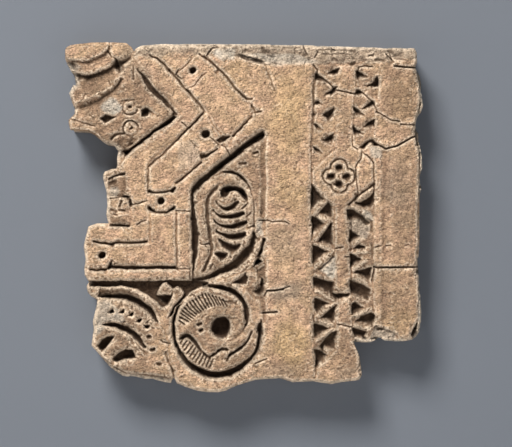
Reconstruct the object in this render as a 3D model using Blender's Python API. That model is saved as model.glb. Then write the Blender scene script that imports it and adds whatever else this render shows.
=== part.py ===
"""Fragment of a carved stucco wall panel: one slab with a broken outline and a face cut with strapwork, a leaf,
two scroll medallions and a zigzag strip. Its back is flat and lies on the plane Y = 0, the carved face looks to -Y.

The carving is set out on a squared drawing, X to the right and Y down, in drawing units. UNIT turns one into metres.
"""
import math

import bmesh
import bpy
from mathutils import Matrix, Vector

# Sizes in metres
PANEL_WIDTH = 0.574
SLAB_THICKNESS = 0.072
SCORED_DEPTH = 0.0035
LINE_DEPTH = 0.006
BAR_GAP_DEPTH = 0.009
VEIN_DEPTH = 0.010
RING_DEPTH = 0.014
TOOTH_DEPTH = 0.017
FIELD_DEPTH = 0.022
DRILL_DEPTH = 0.018
SCROLL_EYE_DEPTH = 0.034
STRIP_DROP = 0.003
LEAF_DROP = 0.003
SPANDREL_DROP = 0.008
BROKEN_DROP = 0.006
BACKING_DROP = 0.022
OVERCUT = 0.0005

# Widths of the chisel cuts, in drawing units
SCORE_WIDTH = 1.8
LINE_WIDTH = 2.8
BAR_GAP_WIDTH = 4.2

# How far a cut's floor is drawn in from its mouth, as a share of the mouth
PIT_FLOOR = 0.72
STEP_FLOOR = 0.86
ZONE_FLOOR = 0.985
DRILL_FLOOR = 0.75
SLIT_DRAW_IN = 0.30
SLOPE_DRAW_IN = 0.62
STEEP_DRAW_IN = 0.12
ISLAND_SPREAD = 1.18

DRILL_SIDES = 12
RING_SIDES = 14
LOBE_STEPS = 10

# The roundel's lobes and the tile's eyes, in drawing units and degrees
LOBE_RADIUS = 9.6
LOBE_OPENING = 80
EYE_RING_RADIUS = 5.6
EYE_HOLE_RADIUS = 1.6

STUCCO_COLOUR = (0.50, 0.36, 0.25, 1.0)
STUCCO_ROUGHNESS = 0.92

# The broken outline, edge by edge and clockwise from the top left
TOP_EDGE = [
    (65, 50), (66, 47.5), (70, 45), (79, 43.7), (91, 42.3), (110, 42), (126, 42.7), (131.5, 47), (133.8, 51),
    (135.3, 48), (140, 45), (156, 43.3), (242, 43.3), (304, 44.3), (334, 45.3), (387, 47.3), (414.7, 47.3),
    (417.5, 52),
]
RIGHT_EDGE = [
    (417.5, 62), (416, 66), (420.5, 75), (422.3, 82), (422, 91), (423.7, 106), (421.3, 112.7), (418.3, 116.7),
    (417, 123), (417.3, 130), (419.7, 133.5), (419.3, 139), (422.3, 155), (423, 167.5), (419.7, 177.5),
    (422.3, 187.5), (420, 196), (420, 244), (419, 260), (420.7, 290), (422, 316.7), (421.3, 327), (419.3, 335.3),
]
BOTTOM_EDGE = [
    (416.7, 338.3), (412, 340), (402, 342), (384.7, 341), (380.7, 338), (371.3, 342.7), (354, 342.7), (357, 350),
    (359.7, 356.7), (362.3, 375.3), (359.3, 380.7), (340.7, 382.7), (331.3, 384.7), (312.7, 381.7),
    (292.7, 382.7), (280, 378.7), (268.7, 379.3), (255.3, 380.3), (236.7, 386), (225.3, 391.3), (219.3, 392.7),
    (206.7, 392.7), (196.7, 391.3), (183.3, 386.7), (176.7, 384), (174.5, 379.3), (172, 379.3), (170.5, 384.2),
    (163.3, 383), (151.3, 379.7), (144.7, 380), (134.7, 377.3), (122.7, 377.3), (114.7, 372), (109.3, 367.3),
    (101.3, 358), (95.3, 350.7), (91, 346),
]
LEFT_EDGE = [
    (92, 338.7), (93, 330), (92.3, 322), (95.3, 308.7), (97, 300), (90, 296), (86.7, 292), (86, 286.7),
    (88.3, 282), (84.3, 275.3), (83.7, 269.3), (85.3, 259.3), (83, 246.7), (86.7, 231), (88, 226.3),
    (96.7, 223.3), (108, 223.3),
]
BAY_EDGE = [
    (107, 220), (105.7, 214.7), (107, 204), (105.5, 190), (102.3, 178.7), (102.3, 174.7), (104, 171.3),
    (111.3, 168.7), (115.7, 168.3), (116.7, 164), (116.1, 159.3), (117.3, 150.7), (113.3, 145.3), (105.3, 144),
    (94, 134.7),
]
WING_EDGE = [
    (88, 131.3), (70, 130), (68.3, 123.3), (68, 119.7), (73.7, 114), (74, 109), (69, 95.3), (68, 92.7),
    (72.3, 84), (75, 84.7), (73.3, 76), (66, 63.3), (65, 58.7),
]
OUTLINE = TOP_EDGE + RIGHT_EDGE + BOTTOM_EDGE + LEFT_EDGE + BAY_EDGE + WING_EDGE

LEFT_MOST = min(x for x, y in OUTLINE)
RIGHT_MOST = max(x for x, y in OUTLINE)
HIGHEST = min(y for x, y in OUTLINE)
LOWEST = max(y for x, y in OUTLINE)
CENTRE_X = (LEFT_MOST + RIGHT_MOST) / 2
CENTRE_Y = (HIGHEST + LOWEST) / 2
UNIT = PANEL_WIDTH / (RIGHT_MOST - LEFT_MOST)

# Turns a flat drawing, X and Y, to stand in the panel's plane, with the drawing's thickness along -Y
UPRIGHT = Matrix.Rotation(math.radians(90), 4, "X")


def on_panel(point):
    """A drawing point as the panel's X and Z, in metres."""
    x, y = point
    return Vector(((x - CENTRE_X) * UNIT, (CENTRE_Y - y) * UNIT))


def clear_file():
    for old in list(bpy.data.objects):
        bpy.data.objects.remove(old, do_unlink=True)


def new_collection(name):
    collection = bpy.data.collections.new(name)
    bpy.context.scene.collection.children.link(collection)
    return collection


def stucco_material():
    material = bpy.data.materials.new("stucco")
    material.use_nodes = True
    shader = material.node_tree.nodes["Principled BSDF"]
    shader.inputs["Base Color"].default_value = STUCCO_COLOUR
    shader.inputs["Roughness"].default_value = STUCCO_ROUGHNESS
    shader.inputs["Metallic"].default_value = 0.0
    return material


def flat_solid(name, loops, front, back, collection):
    """A straight-sided solid of a flat outline; each further loop is an island left out of it."""
    curve = bpy.data.curves.new(name, "CURVE")
    curve.dimensions = "2D"
    curve.fill_mode = "BOTH"
    curve.extrude = (front - back) / 2
    for loop in loops:
        spline = curve.splines.new("POLY")
        spline.points.add(len(loop) - 1)
        for point, place in zip(spline.points, loop):
            point.co = (place.x, place.y, 0.0, 1.0)
        spline.use_cyclic_u = True
    drawn = bpy.data.objects.new(name, curve)
    collection.objects.link(drawn)
    drawn.matrix_world = Matrix.Translation((0.0, -(front + back) / 2, 0.0)) @ UPRIGHT
    bpy.context.view_layer.update()
    evaluated = drawn.evaluated_get(bpy.context.evaluated_depsgraph_get())
    mesh = bpy.data.meshes.new_from_object(evaluated)
    matrix = drawn.matrix_world.copy()
    bpy.data.objects.remove(drawn, do_unlink=True)
    bpy.data.curves.remove(curve)
    welded = bmesh.new()
    welded.from_mesh(mesh)
    bmesh.ops.remove_doubles(welded, verts=welded.verts, dist=1e-6)
    bmesh.ops.recalc_face_normals(welded, faces=welded.faces)
    welded.to_mesh(mesh)
    welded.free()
    mesh.name = name
    solid = bpy.data.objects.new(name, mesh)
    collection.objects.link(solid)
    solid.matrix_world = matrix
    return solid


def tapered_cut(name, loops, floors, depth):
    """A cutter from just above the face down to depth, whose mouth follows loops and whose floor follows floors."""
    face = SLAB_THICKNESS
    solid = flat_solid(name, loops, face + OVERCUT, face - depth, cutters)
    mouth = [point for loop in loops for point in loop]
    floor = [point for loop in floors for point in loop]
    for vertex in solid.data.vertices:
        if vertex.co.z > 0:
            continue
        here = vertex.co.to_2d()
        nearest = min(range(len(mouth)), key=lambda i: (mouth[i] - here).length_squared)
        vertex.co.x, vertex.co.y = floor[nearest]
    solid.hide_render = True
    solid.display_type = "WIRE"
    return solid


def scaled_about_middle(loop, share):
    middle = sum(loop, Vector((0.0, 0.0))) / len(loop)
    return [middle + (point - middle) * share for point in loop]


def pit(name, outline, depth, floor=PIT_FLOOR, islands=()):
    """A hollow with a smaller floor. Islands in it keep the face and spread at their foot."""
    mouths = [[on_panel(point) for point in outline]]
    floors = [scaled_about_middle(mouths[0], floor)]
    for island in islands:
        mouths.append([on_panel(point) for point in island])
        floors.append(scaled_about_middle(mouths[-1], ISLAND_SPREAD))
    return tapered_cut(name, mouths, floors, depth)


def spaced(path, count):
    """A path's points spread evenly along it, so that two edges of a channel can be paired."""
    steps = [0.0]
    for start, end in zip(path, path[1:]):
        steps.append(steps[-1] + (end - start).length)
    places = []
    for index in range(count):
        along = steps[-1] * index / (count - 1)
        leg = max(i for i in range(len(path) - 1) if steps[i] <= along + 1e-9)
        share = (along - steps[leg]) / (steps[leg + 1] - steps[leg])
        places.append(path[leg].lerp(path[leg + 1], min(share, 1.0)))
    return places


def without_repeats(mouth, floor):
    kept = [i for i in range(len(mouth)) if (mouth[i] - mouth[i - 1]).length > UNIT * 0.2]
    return [mouth[i] for i in kept], [floor[i] for i in kept]


def channel(name, left, right, depth, draw_left=SLIT_DRAW_IN, draw_right=SLIT_DRAW_IN):
    """A cut between two drawn edges. Each side of its floor is drawn in towards the other by its own share."""
    count = max(len(left), len(right))
    left = spaced([on_panel(point) for point in left], count)
    right = spaced([on_panel(point) for point in right], count)
    left_floor = [a.lerp(b, draw_left) for a, b in zip(left, right)]
    right_floor = [b.lerp(a, draw_right) for a, b in zip(left, right)]
    mouth, floor = without_repeats(left + right[::-1], left_floor + right_floor[::-1])
    return tapered_cut(name, [mouth], [floor], depth)


def groove(name, path, width, depth):
    """A cut of even width along a path, narrower at its floor."""
    places = [on_panel(point) for point in path]
    half = width * UNIT / 2
    left = []
    right = []
    for index, place in enumerate(places):
        ahead = places[min(index + 1, len(places) - 1)] - place
        behind = place - places[max(index - 1, 0)]
        along = (ahead.normalized() + behind.normalized()).normalized()
        across = Vector((-along.y, along.x))
        turn = max(along.dot(ahead.normalized() if ahead.length else behind.normalized()), 0.5)
        left.append(place + across * half / turn)
        right.append(place - across * half / turn)
    left_floor = [a.lerp(b, SLIT_DRAW_IN) for a, b in zip(left, right)]
    right_floor = [b.lerp(a, SLIT_DRAW_IN) for a, b in zip(left, right)]
    return tapered_cut(name, [left + right[::-1]], [left_floor + right_floor[::-1]], depth)


def oval(centre, wide, high, sides):
    """An oval's points in drawing units, from its half width and half height."""
    turns = [math.tau * side / sides for side in range(sides)]
    return [(centre[0] + wide * math.cos(turn), centre[1] + high * math.sin(turn)) for turn in turns]


def drilled(name, centre, radius, depth=DRILL_DEPTH):
    return pit(name, oval(centre, radius, radius, DRILL_SIDES), depth, DRILL_FLOOR)


def ring_groove(name, centre, radius):
    """A scored round line around a standing middle."""
    outer = radius + SCORE_WIDTH / 2
    inner = radius - SCORE_WIDTH / 2
    return pit(name, oval(centre, outer, outer, RING_SIDES), SCORED_DEPTH, ZONE_FLOOR,
               islands=[oval(centre, inner, inner, RING_SIDES)])


def strapwork():
    """The outer bar, the wide band and the inner bar, which turn together at the bosses."""
    groove("outer_line", [
        (150, 55.5), (159, 59), (170, 71.5), (190, 93), (205, 111.5), (190, 126.7), (170, 147.3), (148.5, 167),
    ], LINE_WIDTH, LINE_DEPTH)
    groove("outer_line_upright", [(148.2, 168), (147.8, 188)], SCORE_WIDTH, SCORED_DEPTH)
    groove("outer_line_foot", [(92, 241), (108, 243.5), (130, 242.5), (147, 241)], LINE_WIDTH, LINE_DEPTH)
    groove("inner_line_top", [
        (199, 54), (209, 60), (222, 71.5), (233, 85), (246, 98.7), (252, 99),
    ], LINE_WIDTH, LINE_DEPTH)
    groove("inner_line_corner", [(251, 105), (255, 112.7), (262, 110.5)], LINE_WIDTH, LINE_DEPTH)
    groove("inner_line_turn", [(252, 116), (243, 125.5), (232.5, 136.5)], LINE_WIDTH, LINE_DEPTH)
    groove("inner_line_low", [(202, 162), (193.3, 169.3), (182, 179.3), (176, 183.5)], LINE_WIDTH, LINE_DEPTH)
    groove("inner_line_upright", [(176.5, 213), (176.5, 266)], SCORE_WIDTH, SCORED_DEPTH)
    groove("inner_line_foot", [(108, 267.5), (125, 267.8), (150, 267.8), (175, 267.5)],
           BAR_GAP_WIDTH, BAR_GAP_DEPTH)
    groove("inner_line_end", [(89, 269.5), (97, 270.5), (107, 268.5)], LINE_WIDTH, LINE_DEPTH)
    channel("gap_above_eye_tile",
            [(134.7, 60), (140.7, 70.7), (150, 79), (165, 92), (178, 107), (184, 114.5)],
            [(133, 62), (137, 74), (146, 85), (158, 94.5), (169, 105), (177, 114)],
            FIELD_DEPTH, SLOPE_DRAW_IN, STEEP_DRAW_IN)
    channel("gap_below_eye_tile",
            [(180, 114.5), (170, 124), (156, 132), (148, 138.7), (138, 147.3), (130, 152.7), (123.3, 159.3)],
            [(175, 114), (166, 120), (158, 124), (150, 129), (143, 134), (134, 142), (124, 151)],
            FIELD_DEPTH, SLOPE_DRAW_IN, STEEP_DRAW_IN)
    channel("field_behind_straps",
            [(262, 130), (248.7, 138.7), (240, 145), (226.7, 155.3), (213.3, 166), (200.7, 177.3), (192, 186)],
            [(264.7, 136), (255.3, 142), (242, 152.7), (226.7, 163.3), (216.7, 172), (203.3, 183.3),
             (193.3, 194.7)],
            FIELD_DEPTH)
    channel("field_beside_upright",
            [(191, 188), (190.6, 212), (190, 222.7), (191, 234), (192.7, 240.7), (193.3, 251.3), (193, 268)],
            [(192.6, 194), (193, 212), (196.7, 224), (198.7, 234), (199.7, 242), (199.3, 251.3), (194, 270)],
            FIELD_DEPTH)


def boss(name, hole, radius, lines):
    drilled(name + "_hole", hole, radius)
    for number, line in enumerate(lines):
        groove(f"{name}_line_{number}", line, SCORE_WIDTH, SCORED_DEPTH)


def bosses():
    """The drilled bosses where the band changes direction, each shut off by scored lines."""
    boss("top_boss", (192.8, 70), 3.4, [
        [(187, 88.5), (195, 85), (202, 76), (206, 72)],
        [(175, 74.5), (184, 67), (192, 59)],
    ])
    boss("turn_boss", (205.7, 134), 4.4, [
        [(190, 140), (192.7, 144), (199, 148)],
        [(208.7, 116), (212.7, 124), (222, 134)],
    ])
    boss("upright_boss", (160.8, 201), 3.8, [
        [(147, 190), (152, 193), (166, 192), (175, 188)],
        [(148, 206), (155, 212), (167, 212), (175, 206)],
    ])
    boss("foot_boss", (101.7, 255.3), 4.0, [[(112, 260), (110, 264), (107, 268)]])
    pit("turn_pocket_upper", [
        (223.3, 134.7), (232, 135), (226.7, 139.3), (222.7, 143.3), (218.7, 144.7), (215.3, 140), (220, 137.3),
    ], BAR_GAP_DEPTH)
    channel("turn_pocket_lower",
            [(199.7, 152), (208.7, 152.7), (217.3, 147.5)],
            [(201, 161), (203.3, 159), (210, 156), (218, 149.3)], BAR_GAP_DEPTH)
    for side, corner in enumerate([
            [(175, 187.7), (169.3, 192), (173.6, 193.4)], [(175, 205.3), (168.7, 210.7), (174.7, 210.4)],
            [(147.3, 204), (148.7, 210), (155, 213)], [(147.3, 189.7), (150.7, 194.3), (155, 192)]]):
        pit(f"upright_boss_corner_{side}", corner, LINE_DEPTH)


def leaf():
    """The curled leaf in its drop-shaped field, with its frame line, veins and stalk hollow."""
    groove("leaf_frame_line", [
        (217.3, 187.3), (210, 194.7), (206, 201.3), (205.3, 209.3), (206, 219), (210, 227.3), (211.3, 247.3),
        (208.7, 258), (202.7, 270.7),
    ], LINE_WIDTH, LINE_DEPTH)
    channel("leaf_tip_line",
            [(224, 171), (236.7, 171.3), (246.7, 177), (250, 185.3)],
            [(223.3, 173.3), (236.7, 176), (244.5, 180), (248.8, 186)], BAR_GAP_DEPTH)
    channel("leaf_curl",
            [(219.3, 197.5), (219.3, 191.3), (222, 187.3), (226.7, 185.3), (233.3, 185), (240, 186.7),
             (244.7, 191.3), (250.5, 202)],
            [(223.5, 198), (226.7, 196.7), (228.7, 192.7), (233.3, 190.7), (237.3, 191.3), (241.3, 194.7),
             (245.3, 198), (249.5, 202)], VEIN_DEPTH)
    veins = [
        ([(215.3, 199), (220, 206.7), (225.3, 209.3), (234.7, 206.7), (238.5, 203)],
         [(217, 200.5), (221.5, 204.5), (227.3, 206), (232.7, 204), (236.5, 200)]),
        ([(213, 209), (220, 216.7), (226.7, 218), (239.3, 216), (243.6, 213)],
         [(214.5, 209.5), (220.7, 213.8), (226.7, 215), (233.3, 213.3), (240, 211)]),
        ([(213.7, 218.7), (222, 226.7), (228.7, 228.3), (242, 226), (246.3, 223)],
         [(215, 219), (221.3, 223), (226.7, 224.3), (233.3, 223.7), (242, 221)]),
        ([(215.7, 229.7), (222, 236), (228.7, 238.7), (236, 238.7), (244.3, 235.8)],
         [(217, 230), (222, 232.6), (228, 234.3), (233.3, 234.3), (241, 233)]),
        ([(218, 239.7), (224.7, 248.3), (230, 250.7), (234.7, 250), (240.3, 243.8)],
         [(219.5, 239.7), (225.3, 242.6), (230, 244), (236, 243.3), (238.5, 242.6)]),
    ]
    for number, (under, over) in enumerate(veins):
        channel(f"leaf_vein_{number}", under, over, VEIN_DEPTH, STEEP_DRAW_IN, SLOPE_DRAW_IN)
    pit("leaf_base_notch", [
        (214, 253), (219, 251.7), (227.3, 254), (224.7, 258), (221.3, 260), (218, 257.3),
    ], BAR_GAP_DEPTH)
    channel("stalk_hollow",
            [(242, 242), (241.3, 251.3), (235.3, 260.7), (223.3, 267.3), (210, 274), (203.3, 277.3)],
            [(252.7, 240.7), (252, 247), (244.7, 260), (233.3, 271.3), (220, 275.3), (209, 280.5)], FIELD_DEPTH)
    pit("stalk_pocket", [(263.5, 262), (261.3, 260), (256, 259), (252, 267.3), (256, 273.3), (263.3, 266)],
        FIELD_DEPTH)
    pit("stalk_pocket_low", [
        (260.7, 278.3), (264.7, 280), (266, 291), (264, 295.3), (258.7, 296.7), (253.3, 292.7), (256.7, 282),
    ], FIELD_DEPTH)
    pit("stalk_pocket_left", [(231, 282), (238, 278.5), (246, 271.5), (246.5, 280), (245.5, 287.5), (239, 283.5)],
        FIELD_DEPTH)


def scroll_medallion():
    """The right medallion: a curled leaf inside a ring, with a deep eye and combed edges."""
    channel("scroll_ring_cut",
            [(176.7, 307), (172, 316), (170.5, 326), (174, 344), (180, 358.7), (188.7, 368.7), (198, 375.3),
             (206.7, 379.7), (226.7, 379.3), (240, 374.7), (250.7, 362), (259.3, 348.7), (262, 334), (262, 322)],
            [(183, 303), (178, 310), (174.5, 320), (176.7, 339), (183.3, 352.7), (192, 363), (202, 370),
             (213, 372.5), (228, 370.5), (238, 365), (245, 357), (252.5, 346), (256, 334), (257.5, 324)],
            RING_DEPTH)
    channel("scroll_arm_line",
            [(207.3, 284), (223.3, 284), (236.7, 289.3), (248, 299), (247.5, 318), (245.5, 329), (240, 338),
             (228, 342.5)],
            [(209, 287.6), (222, 290.5), (233, 297.5), (243, 307), (243.5, 318), (241.5, 327), (236, 335),
             (226.7, 339)], VEIN_DEPTH)
    groove("scroll_tail_line", [(252, 332.7), (246, 343), (240, 348), (230, 354.7), (226.7, 360)],
           LINE_WIDTH, LINE_DEPTH)
    pit("scroll_eye", oval((220.8, 328.5), 10, 11.5, DRILL_SIDES), SCROLL_EYE_DEPTH, DRILL_FLOOR)
    channel("scroll_comb_edge",
            [(181, 338), (188, 334.6), (195, 338.5), (201, 350)],
            [(183, 341), (189, 339.5), (193.5, 343), (198, 351)], VEIN_DEPTH)
    comb("upper_comb", (214, 325), 22, 33, 188, 292, 14)
    comb("lower_comb", (206, 336), 19, 31, 100, 170, 9)
    groove("rim_break", [(166, 352), (168, 360), (172, 370), (174, 380)], LINE_WIDTH, LINE_DEPTH)


def comb(name, centre, near, far, first, last, count):
    """Short scored strokes that point at a centre, from one bearing to another, counted clockwise from the right."""
    for number in range(count):
        bearing = math.radians(first + (last - first) * number / (count - 1))
        across = math.cos(bearing)
        down = math.sin(bearing)
        stroke = [(centre[0] + reach * across, centre[1] + reach * down) for reach in (near, far)]
        groove(f"{name}_{number}", stroke, SCORE_WIDTH, SCORED_DEPTH)


def fan_medallion():
    """The left medallion, broken at its edge: a ring, a row of three-sided pits and two cupped leaves."""
    channel("fan_ring_cut",
            [(97, 297.3), (103.3, 295), (118, 294), (128, 295.3), (138, 298), (144.7, 301.3), (151.3, 306.7),
             (156, 316), (160, 323)],
            [(101.3, 297.8), (108, 298.7), (118, 299), (124.7, 300.7), (136, 304), (142.7, 308), (146, 310.7),
             (150, 314), (155, 321)], RING_DEPTH)
    three_sided = [
        [(108, 313.3), (111.3, 308.3), (114.3, 312.6)], [(118.3, 313.3), (122.5, 309), (123.6, 313.2)],
        [(127.3, 315.5), (134, 312), (132, 317)], [(136, 321.4), (138.5, 319.4), (143, 319), (140, 323)],
        [(142, 323.7), (144, 325.3), (149.7, 325.7), (146.7, 330)], [(152.4, 350), (154.3, 347), (156.3, 350)],
    ]
    for number, corners in enumerate(three_sided):
        pit(f"fan_pit_{number}", corners, BAR_GAP_DEPTH)
    channel("fan_inner_cut",
            [(98, 324.7), (111.3, 322), (130, 325.3), (139.3, 333.3), (147, 347.5)],
            [(103, 325.3), (116.7, 328.7), (128.7, 334.7), (138, 343.3), (144, 348.5)], RING_DEPTH)
    pit("fan_leaf_cup", [(95.3, 347.3), (100.7, 339.3), (107.3, 336.3), (116, 336), (110, 344), (101.3, 352.7)],
        RING_DEPTH)
    pit("fan_leaf_cup_low", [
        (111.3, 359.3), (119.3, 352), (124.7, 349.3), (133.3, 349), (137.3, 358.7), (124.7, 359.7), (114.7, 363.7),
    ], RING_DEPTH)


def buds():
    """The small buds that stand between the lower bar and the two medallions."""
    left_bud = [(157.5, 295), (160, 287), (163, 283.6), (166, 283), (170, 286.5), (173, 290.5), (170, 295)]
    right_bud = [(174.5, 291), (180, 289), (184, 293.6), (178, 300), (174, 297.5)]
    pit("field_between_medallions", [
        (88, 281), (140, 281), (190, 281), (203, 278), (212, 282.5), (200, 287.5), (190, 292.5), (182, 301),
        (176, 307), (172, 316), (168.5, 317.7), (162, 309), (156.5, 302.5), (146.8, 295), (136, 289.5),
        (120.7, 286.3), (98, 286.3), (89, 287.5),
    ], TOOTH_DEPTH, ZONE_FLOOR, islands=[left_bud, right_bud])


def tooth_row(name, pits, depth=TOOTH_DEPTH):
    for number, corners in enumerate(pits):
        pit(f"{name}_{number}", corners, depth)


def zigzag_strip():
    """Pits left and right of the post leave a zigzag bar on each side of it."""
    tooth_row("upper_left_post_pit", [
        [(326.5, 74), (330.7, 70), (339.5, 68), (337, 74.6)],
        [(324.5, 94.3), (331.3, 90.5), (338.3, 85), (338, 90), (332, 95.6)],
        [(323.5, 114.7), (330.7, 109.6), (335.5, 107), (334.7, 111.5), (330.7, 119), (327.3, 118.2)],
        [(323, 141.9), (330.7, 136.5), (335.5, 132.2), (334.9, 136), (331.5, 142.4)],
    ])
    tooth_row("upper_left_wall_pit", [
        [(314.8, 73.6), (319.3, 75), (325, 78.8), (333.6, 87.6), (324.7, 82.6), (315, 79.6)],
        [(314.2, 103.7), (318.7, 100.8), (322.6, 105.5), (317.3, 106.2)],
        [(314.2, 124.4), (318, 125), (322.6, 129), (318.7, 130)],
        [(314.4, 148.4), (317, 147), (321.8, 153.6), (315.3, 152.6)],
    ])
    tooth_row("upper_right_post_pit", [
        [(357, 70.2), (363.3, 72.2), (369.4, 78.4), (364, 77.2), (358.6, 75.5)],
        [(356.8, 89), (361, 89.7), (366.4, 94.6), (360.7, 95.2), (355.8, 95)],
        [(352.8, 107.5), (359.3, 110.8), (364, 115), (358.5, 115.2)],
        [(352.8, 126.8), (357, 129.5), (364.6, 133), (360.7, 134.6), (355, 134.4)],
    ])
    tooth_row("upper_right_wall_pit", [
        [(365.6, 86.2), (372, 82.8), (378.3, 76), (379.3, 87), (375.3, 85.2), (371.3, 87.8)],
        [(362.8, 109), (368, 104), (372.5, 99.6), (375.5, 107), (372, 105.4), (367.3, 108)],
        [(364.2, 127.2), (369, 122.6), (374, 119.6), (374, 123.6), (371.5, 126)],
        [(357, 148.4), (366, 142.4), (372, 137.8), (381.6, 146), (374.5, 145.2), (367.3, 149.8)],
    ])
    tooth_row("lower_left_wall_pit", [
        [(310.7, 183), (318, 190.6), (325.6, 200), (317, 203.6), (310.8, 206.6)],
        [(311, 215.8), (318, 217.4), (325, 225.3), (318, 229), (311.6, 237.8)],
        [(313, 245.7), (321, 249), (328.5, 253.4), (319.5, 259), (313, 265.2)],
    ])
    tooth_row("lower_left_post_pit", [
        [(331.6, 202.8), (332.4, 207.3), (329.6, 217.6), (318.8, 213.6), (325.5, 206)],
        [(332, 223.5), (332.3, 234), (331, 244.4), (318.2, 240.5), (326, 231.5)],
        [(335, 254.8), (335.3, 277.6), (330.5, 278), (319.6, 269.3), (328, 260)],
    ])
    pit("pit_below_post", [
        (313.5, 277.6), (322, 280), (334, 283.6), (333.6, 290), (336, 295), (351, 294.5), (352.7, 296),
        (344, 299.8), (336.7, 301.6), (328, 297), (320.7, 289.7), (313.7, 289),
    ], TOOTH_DEPTH, STEP_FLOOR)
    tooth_row("lower_right_post_pit", [
        [(347, 209), (355, 210.5), (364, 216.5), (369.5, 224.4), (356, 220.6), (347.5, 218.4)],
        [(349.8, 231), (357.3, 235.6), (361.6, 237.4), (353.3, 241.8), (350, 242.4)],
        [(350, 253.6), (358.7, 256.2), (363.7, 262), (357.3, 265.8), (351.8, 269.8)],
        [(350.4, 280.6), (356, 286.4), (366, 287), (371, 289), (371.3, 300.4), (363, 299.8), (350.6, 292.4)],
    ])
    tooth_row("lower_right_wall_pit", [
        [(355, 205.5), (358, 201.8), (368.5, 195.6), (373.6, 196.6), (373.4, 202), (370, 206.6), (363.3, 209)],
        [(354.2, 249.5), (359.5, 245.6), (366.4, 246.5), (365.5, 249.6), (360, 251)],
        [(354.8, 273.6), (362.7, 271.6), (370.6, 269.6), (370.6, 279), (367, 281.4), (360, 277.2)],
    ])
    tooth_row("foot_left_pit", [
        [(314.4, 298.3), (322, 301.4), (329.8, 305.5), (322.5, 311), (315.8, 311.3)],
        [(336.5, 306), (336.9, 313), (333.5, 323.6), (320.2, 320.2), (328, 312.4)],
        [(314.8, 323.6), (322, 326.4), (331.2, 330.8), (322, 336.6), (315.8, 339.8)],
        [(336.5, 332.8), (336.9, 340), (333.5, 350), (327, 349.6), (323.3, 354.6), (320, 346.6), (328, 338)],
        [(315, 350.3), (322, 353.4), (329.2, 358), (323, 362), (318.8, 365.2), (317, 357)],
    ])
    tooth_row("foot_right_pit", [
        [(352, 308), (355.3, 303.6), (365.6, 310.2), (358, 313.6), (351.8, 315.9)],
        [(354.8, 321.4), (363, 317.6), (371.6, 314.2), (370.6, 325.7), (362, 325)],
        [(352.8, 328.3), (361, 328.8), (366.4, 333), (367.7, 339.8), (359, 336.8), (352.8, 333.6)],
    ])


def roundel():
    """The roundel on the post: a frame of scored lines around four round lobes, each pierced."""
    groove("roundel_upper_left", [(313.5, 168.5), (321, 160), (333, 150)], LINE_WIDTH, LINE_DEPTH)
    groove("roundel_lower_right", [(372, 184), (366, 191.3), (357.3, 199.3), (348, 204.5)],
           BAR_GAP_WIDTH, LINE_DEPTH)
    lobes = [(331, 176), (339, 168.3), (347.2, 176), (338.6, 185.7)]
    middle = (339, 176.8)
    for number, (x, y) in enumerate(lobes):
        inward = math.atan2(middle[1] - y, middle[0] - x)
        start = inward + math.radians(LOBE_OPENING / 2)
        sweep = math.radians(360 - LOBE_OPENING)
        turns = [start + sweep * step / LOBE_STEPS for step in range(LOBE_STEPS + 1)]
        path = [(x + LOBE_RADIUS * math.cos(turn), y + LOBE_RADIUS * math.sin(turn)) for turn in turns]
        groove(f"lobe_line_{number}", path, SCORE_WIDTH, SCORED_DEPTH)
    drilled("top_lobe_hole", (338.8, 168.2), 3.1, TOOTH_DEPTH)
    pit("left_lobe_hole", [(328, 176.4), (330, 173.4), (333, 173.8), (337, 176.2), (333, 179), (330, 179.2)],
        TOOTH_DEPTH)
    pit("right_lobe_hole", [(342, 175.6), (345.5, 173), (348.6, 173), (349.8, 175.8), (348, 178), (345, 178)],
        TOOTH_DEPTH)
    pit("bottom_lobe_hole", [(339.4, 178.6), (341.8, 182), (341.6, 185.6), (339, 187.2), (336.4, 185.2), (337, 181.6)],
        TOOTH_DEPTH)
    groove("border_line", [(373.5, 163), (373.8, 180), (373.5, 196)], SCORE_WIDTH, SCORED_DEPTH)


def lowered_grounds():
    """Flat grounds a little below the face, on which the smaller carving stands."""
    grounds = {
        "strip_upper_left": (STRIP_DROP, [
            (313.5, 65), (338, 66), (338, 149), (333, 150), (319, 161), (313.5, 168)]),
        "strip_upper_right": (STRIP_DROP, [
            (354, 66), (376, 67), (378, 80), (375, 110), (375, 138), (383, 146), (373, 150), (371.5, 161),
            (362, 155), (353, 150)]),
        "strip_lower_left": (STRIP_DROP, [
            (311, 183), (316, 190), (327, 201), (334, 206), (334.5, 250), (333.5, 294), (351, 294.6), (344, 299),
            (337, 302), (336.5, 348), (328, 357), (318, 366), (315, 345), (313.5, 280), (312, 250), (311, 215)]),
        "strip_lower_right": (STRIP_DROP, [
            (373.5, 186), (373, 225), (372.5, 260), (374, 300), (375, 326), (380, 331), (366, 343), (352, 341),
            (351.6, 300), (350.2, 292), (350, 207), (357, 198)]),
        "leaf_ground": (LEAF_DROP, [
            (219, 186), (210.5, 195), (206.5, 201.3), (205.8, 209.3), (206.5, 219), (210.5, 227.3),
            (211.8, 247.3), (209.5, 258), (215, 264), (226, 260), (241, 243), (250, 225), (252, 205), (246, 190),
            (236, 182), (224, 182)]),
        "leaf_spandrel": (SPANDREL_DROP, [
            (262, 138), (240, 155), (226, 166), (224, 172), (237, 172), (246.7, 177.5), (251, 187), (256, 202),
            (260, 217), (263, 222)]),
    }
    for name, (drop, edge) in grounds.items():
        pit(name, edge, drop, ZONE_FLOOR)


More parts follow.
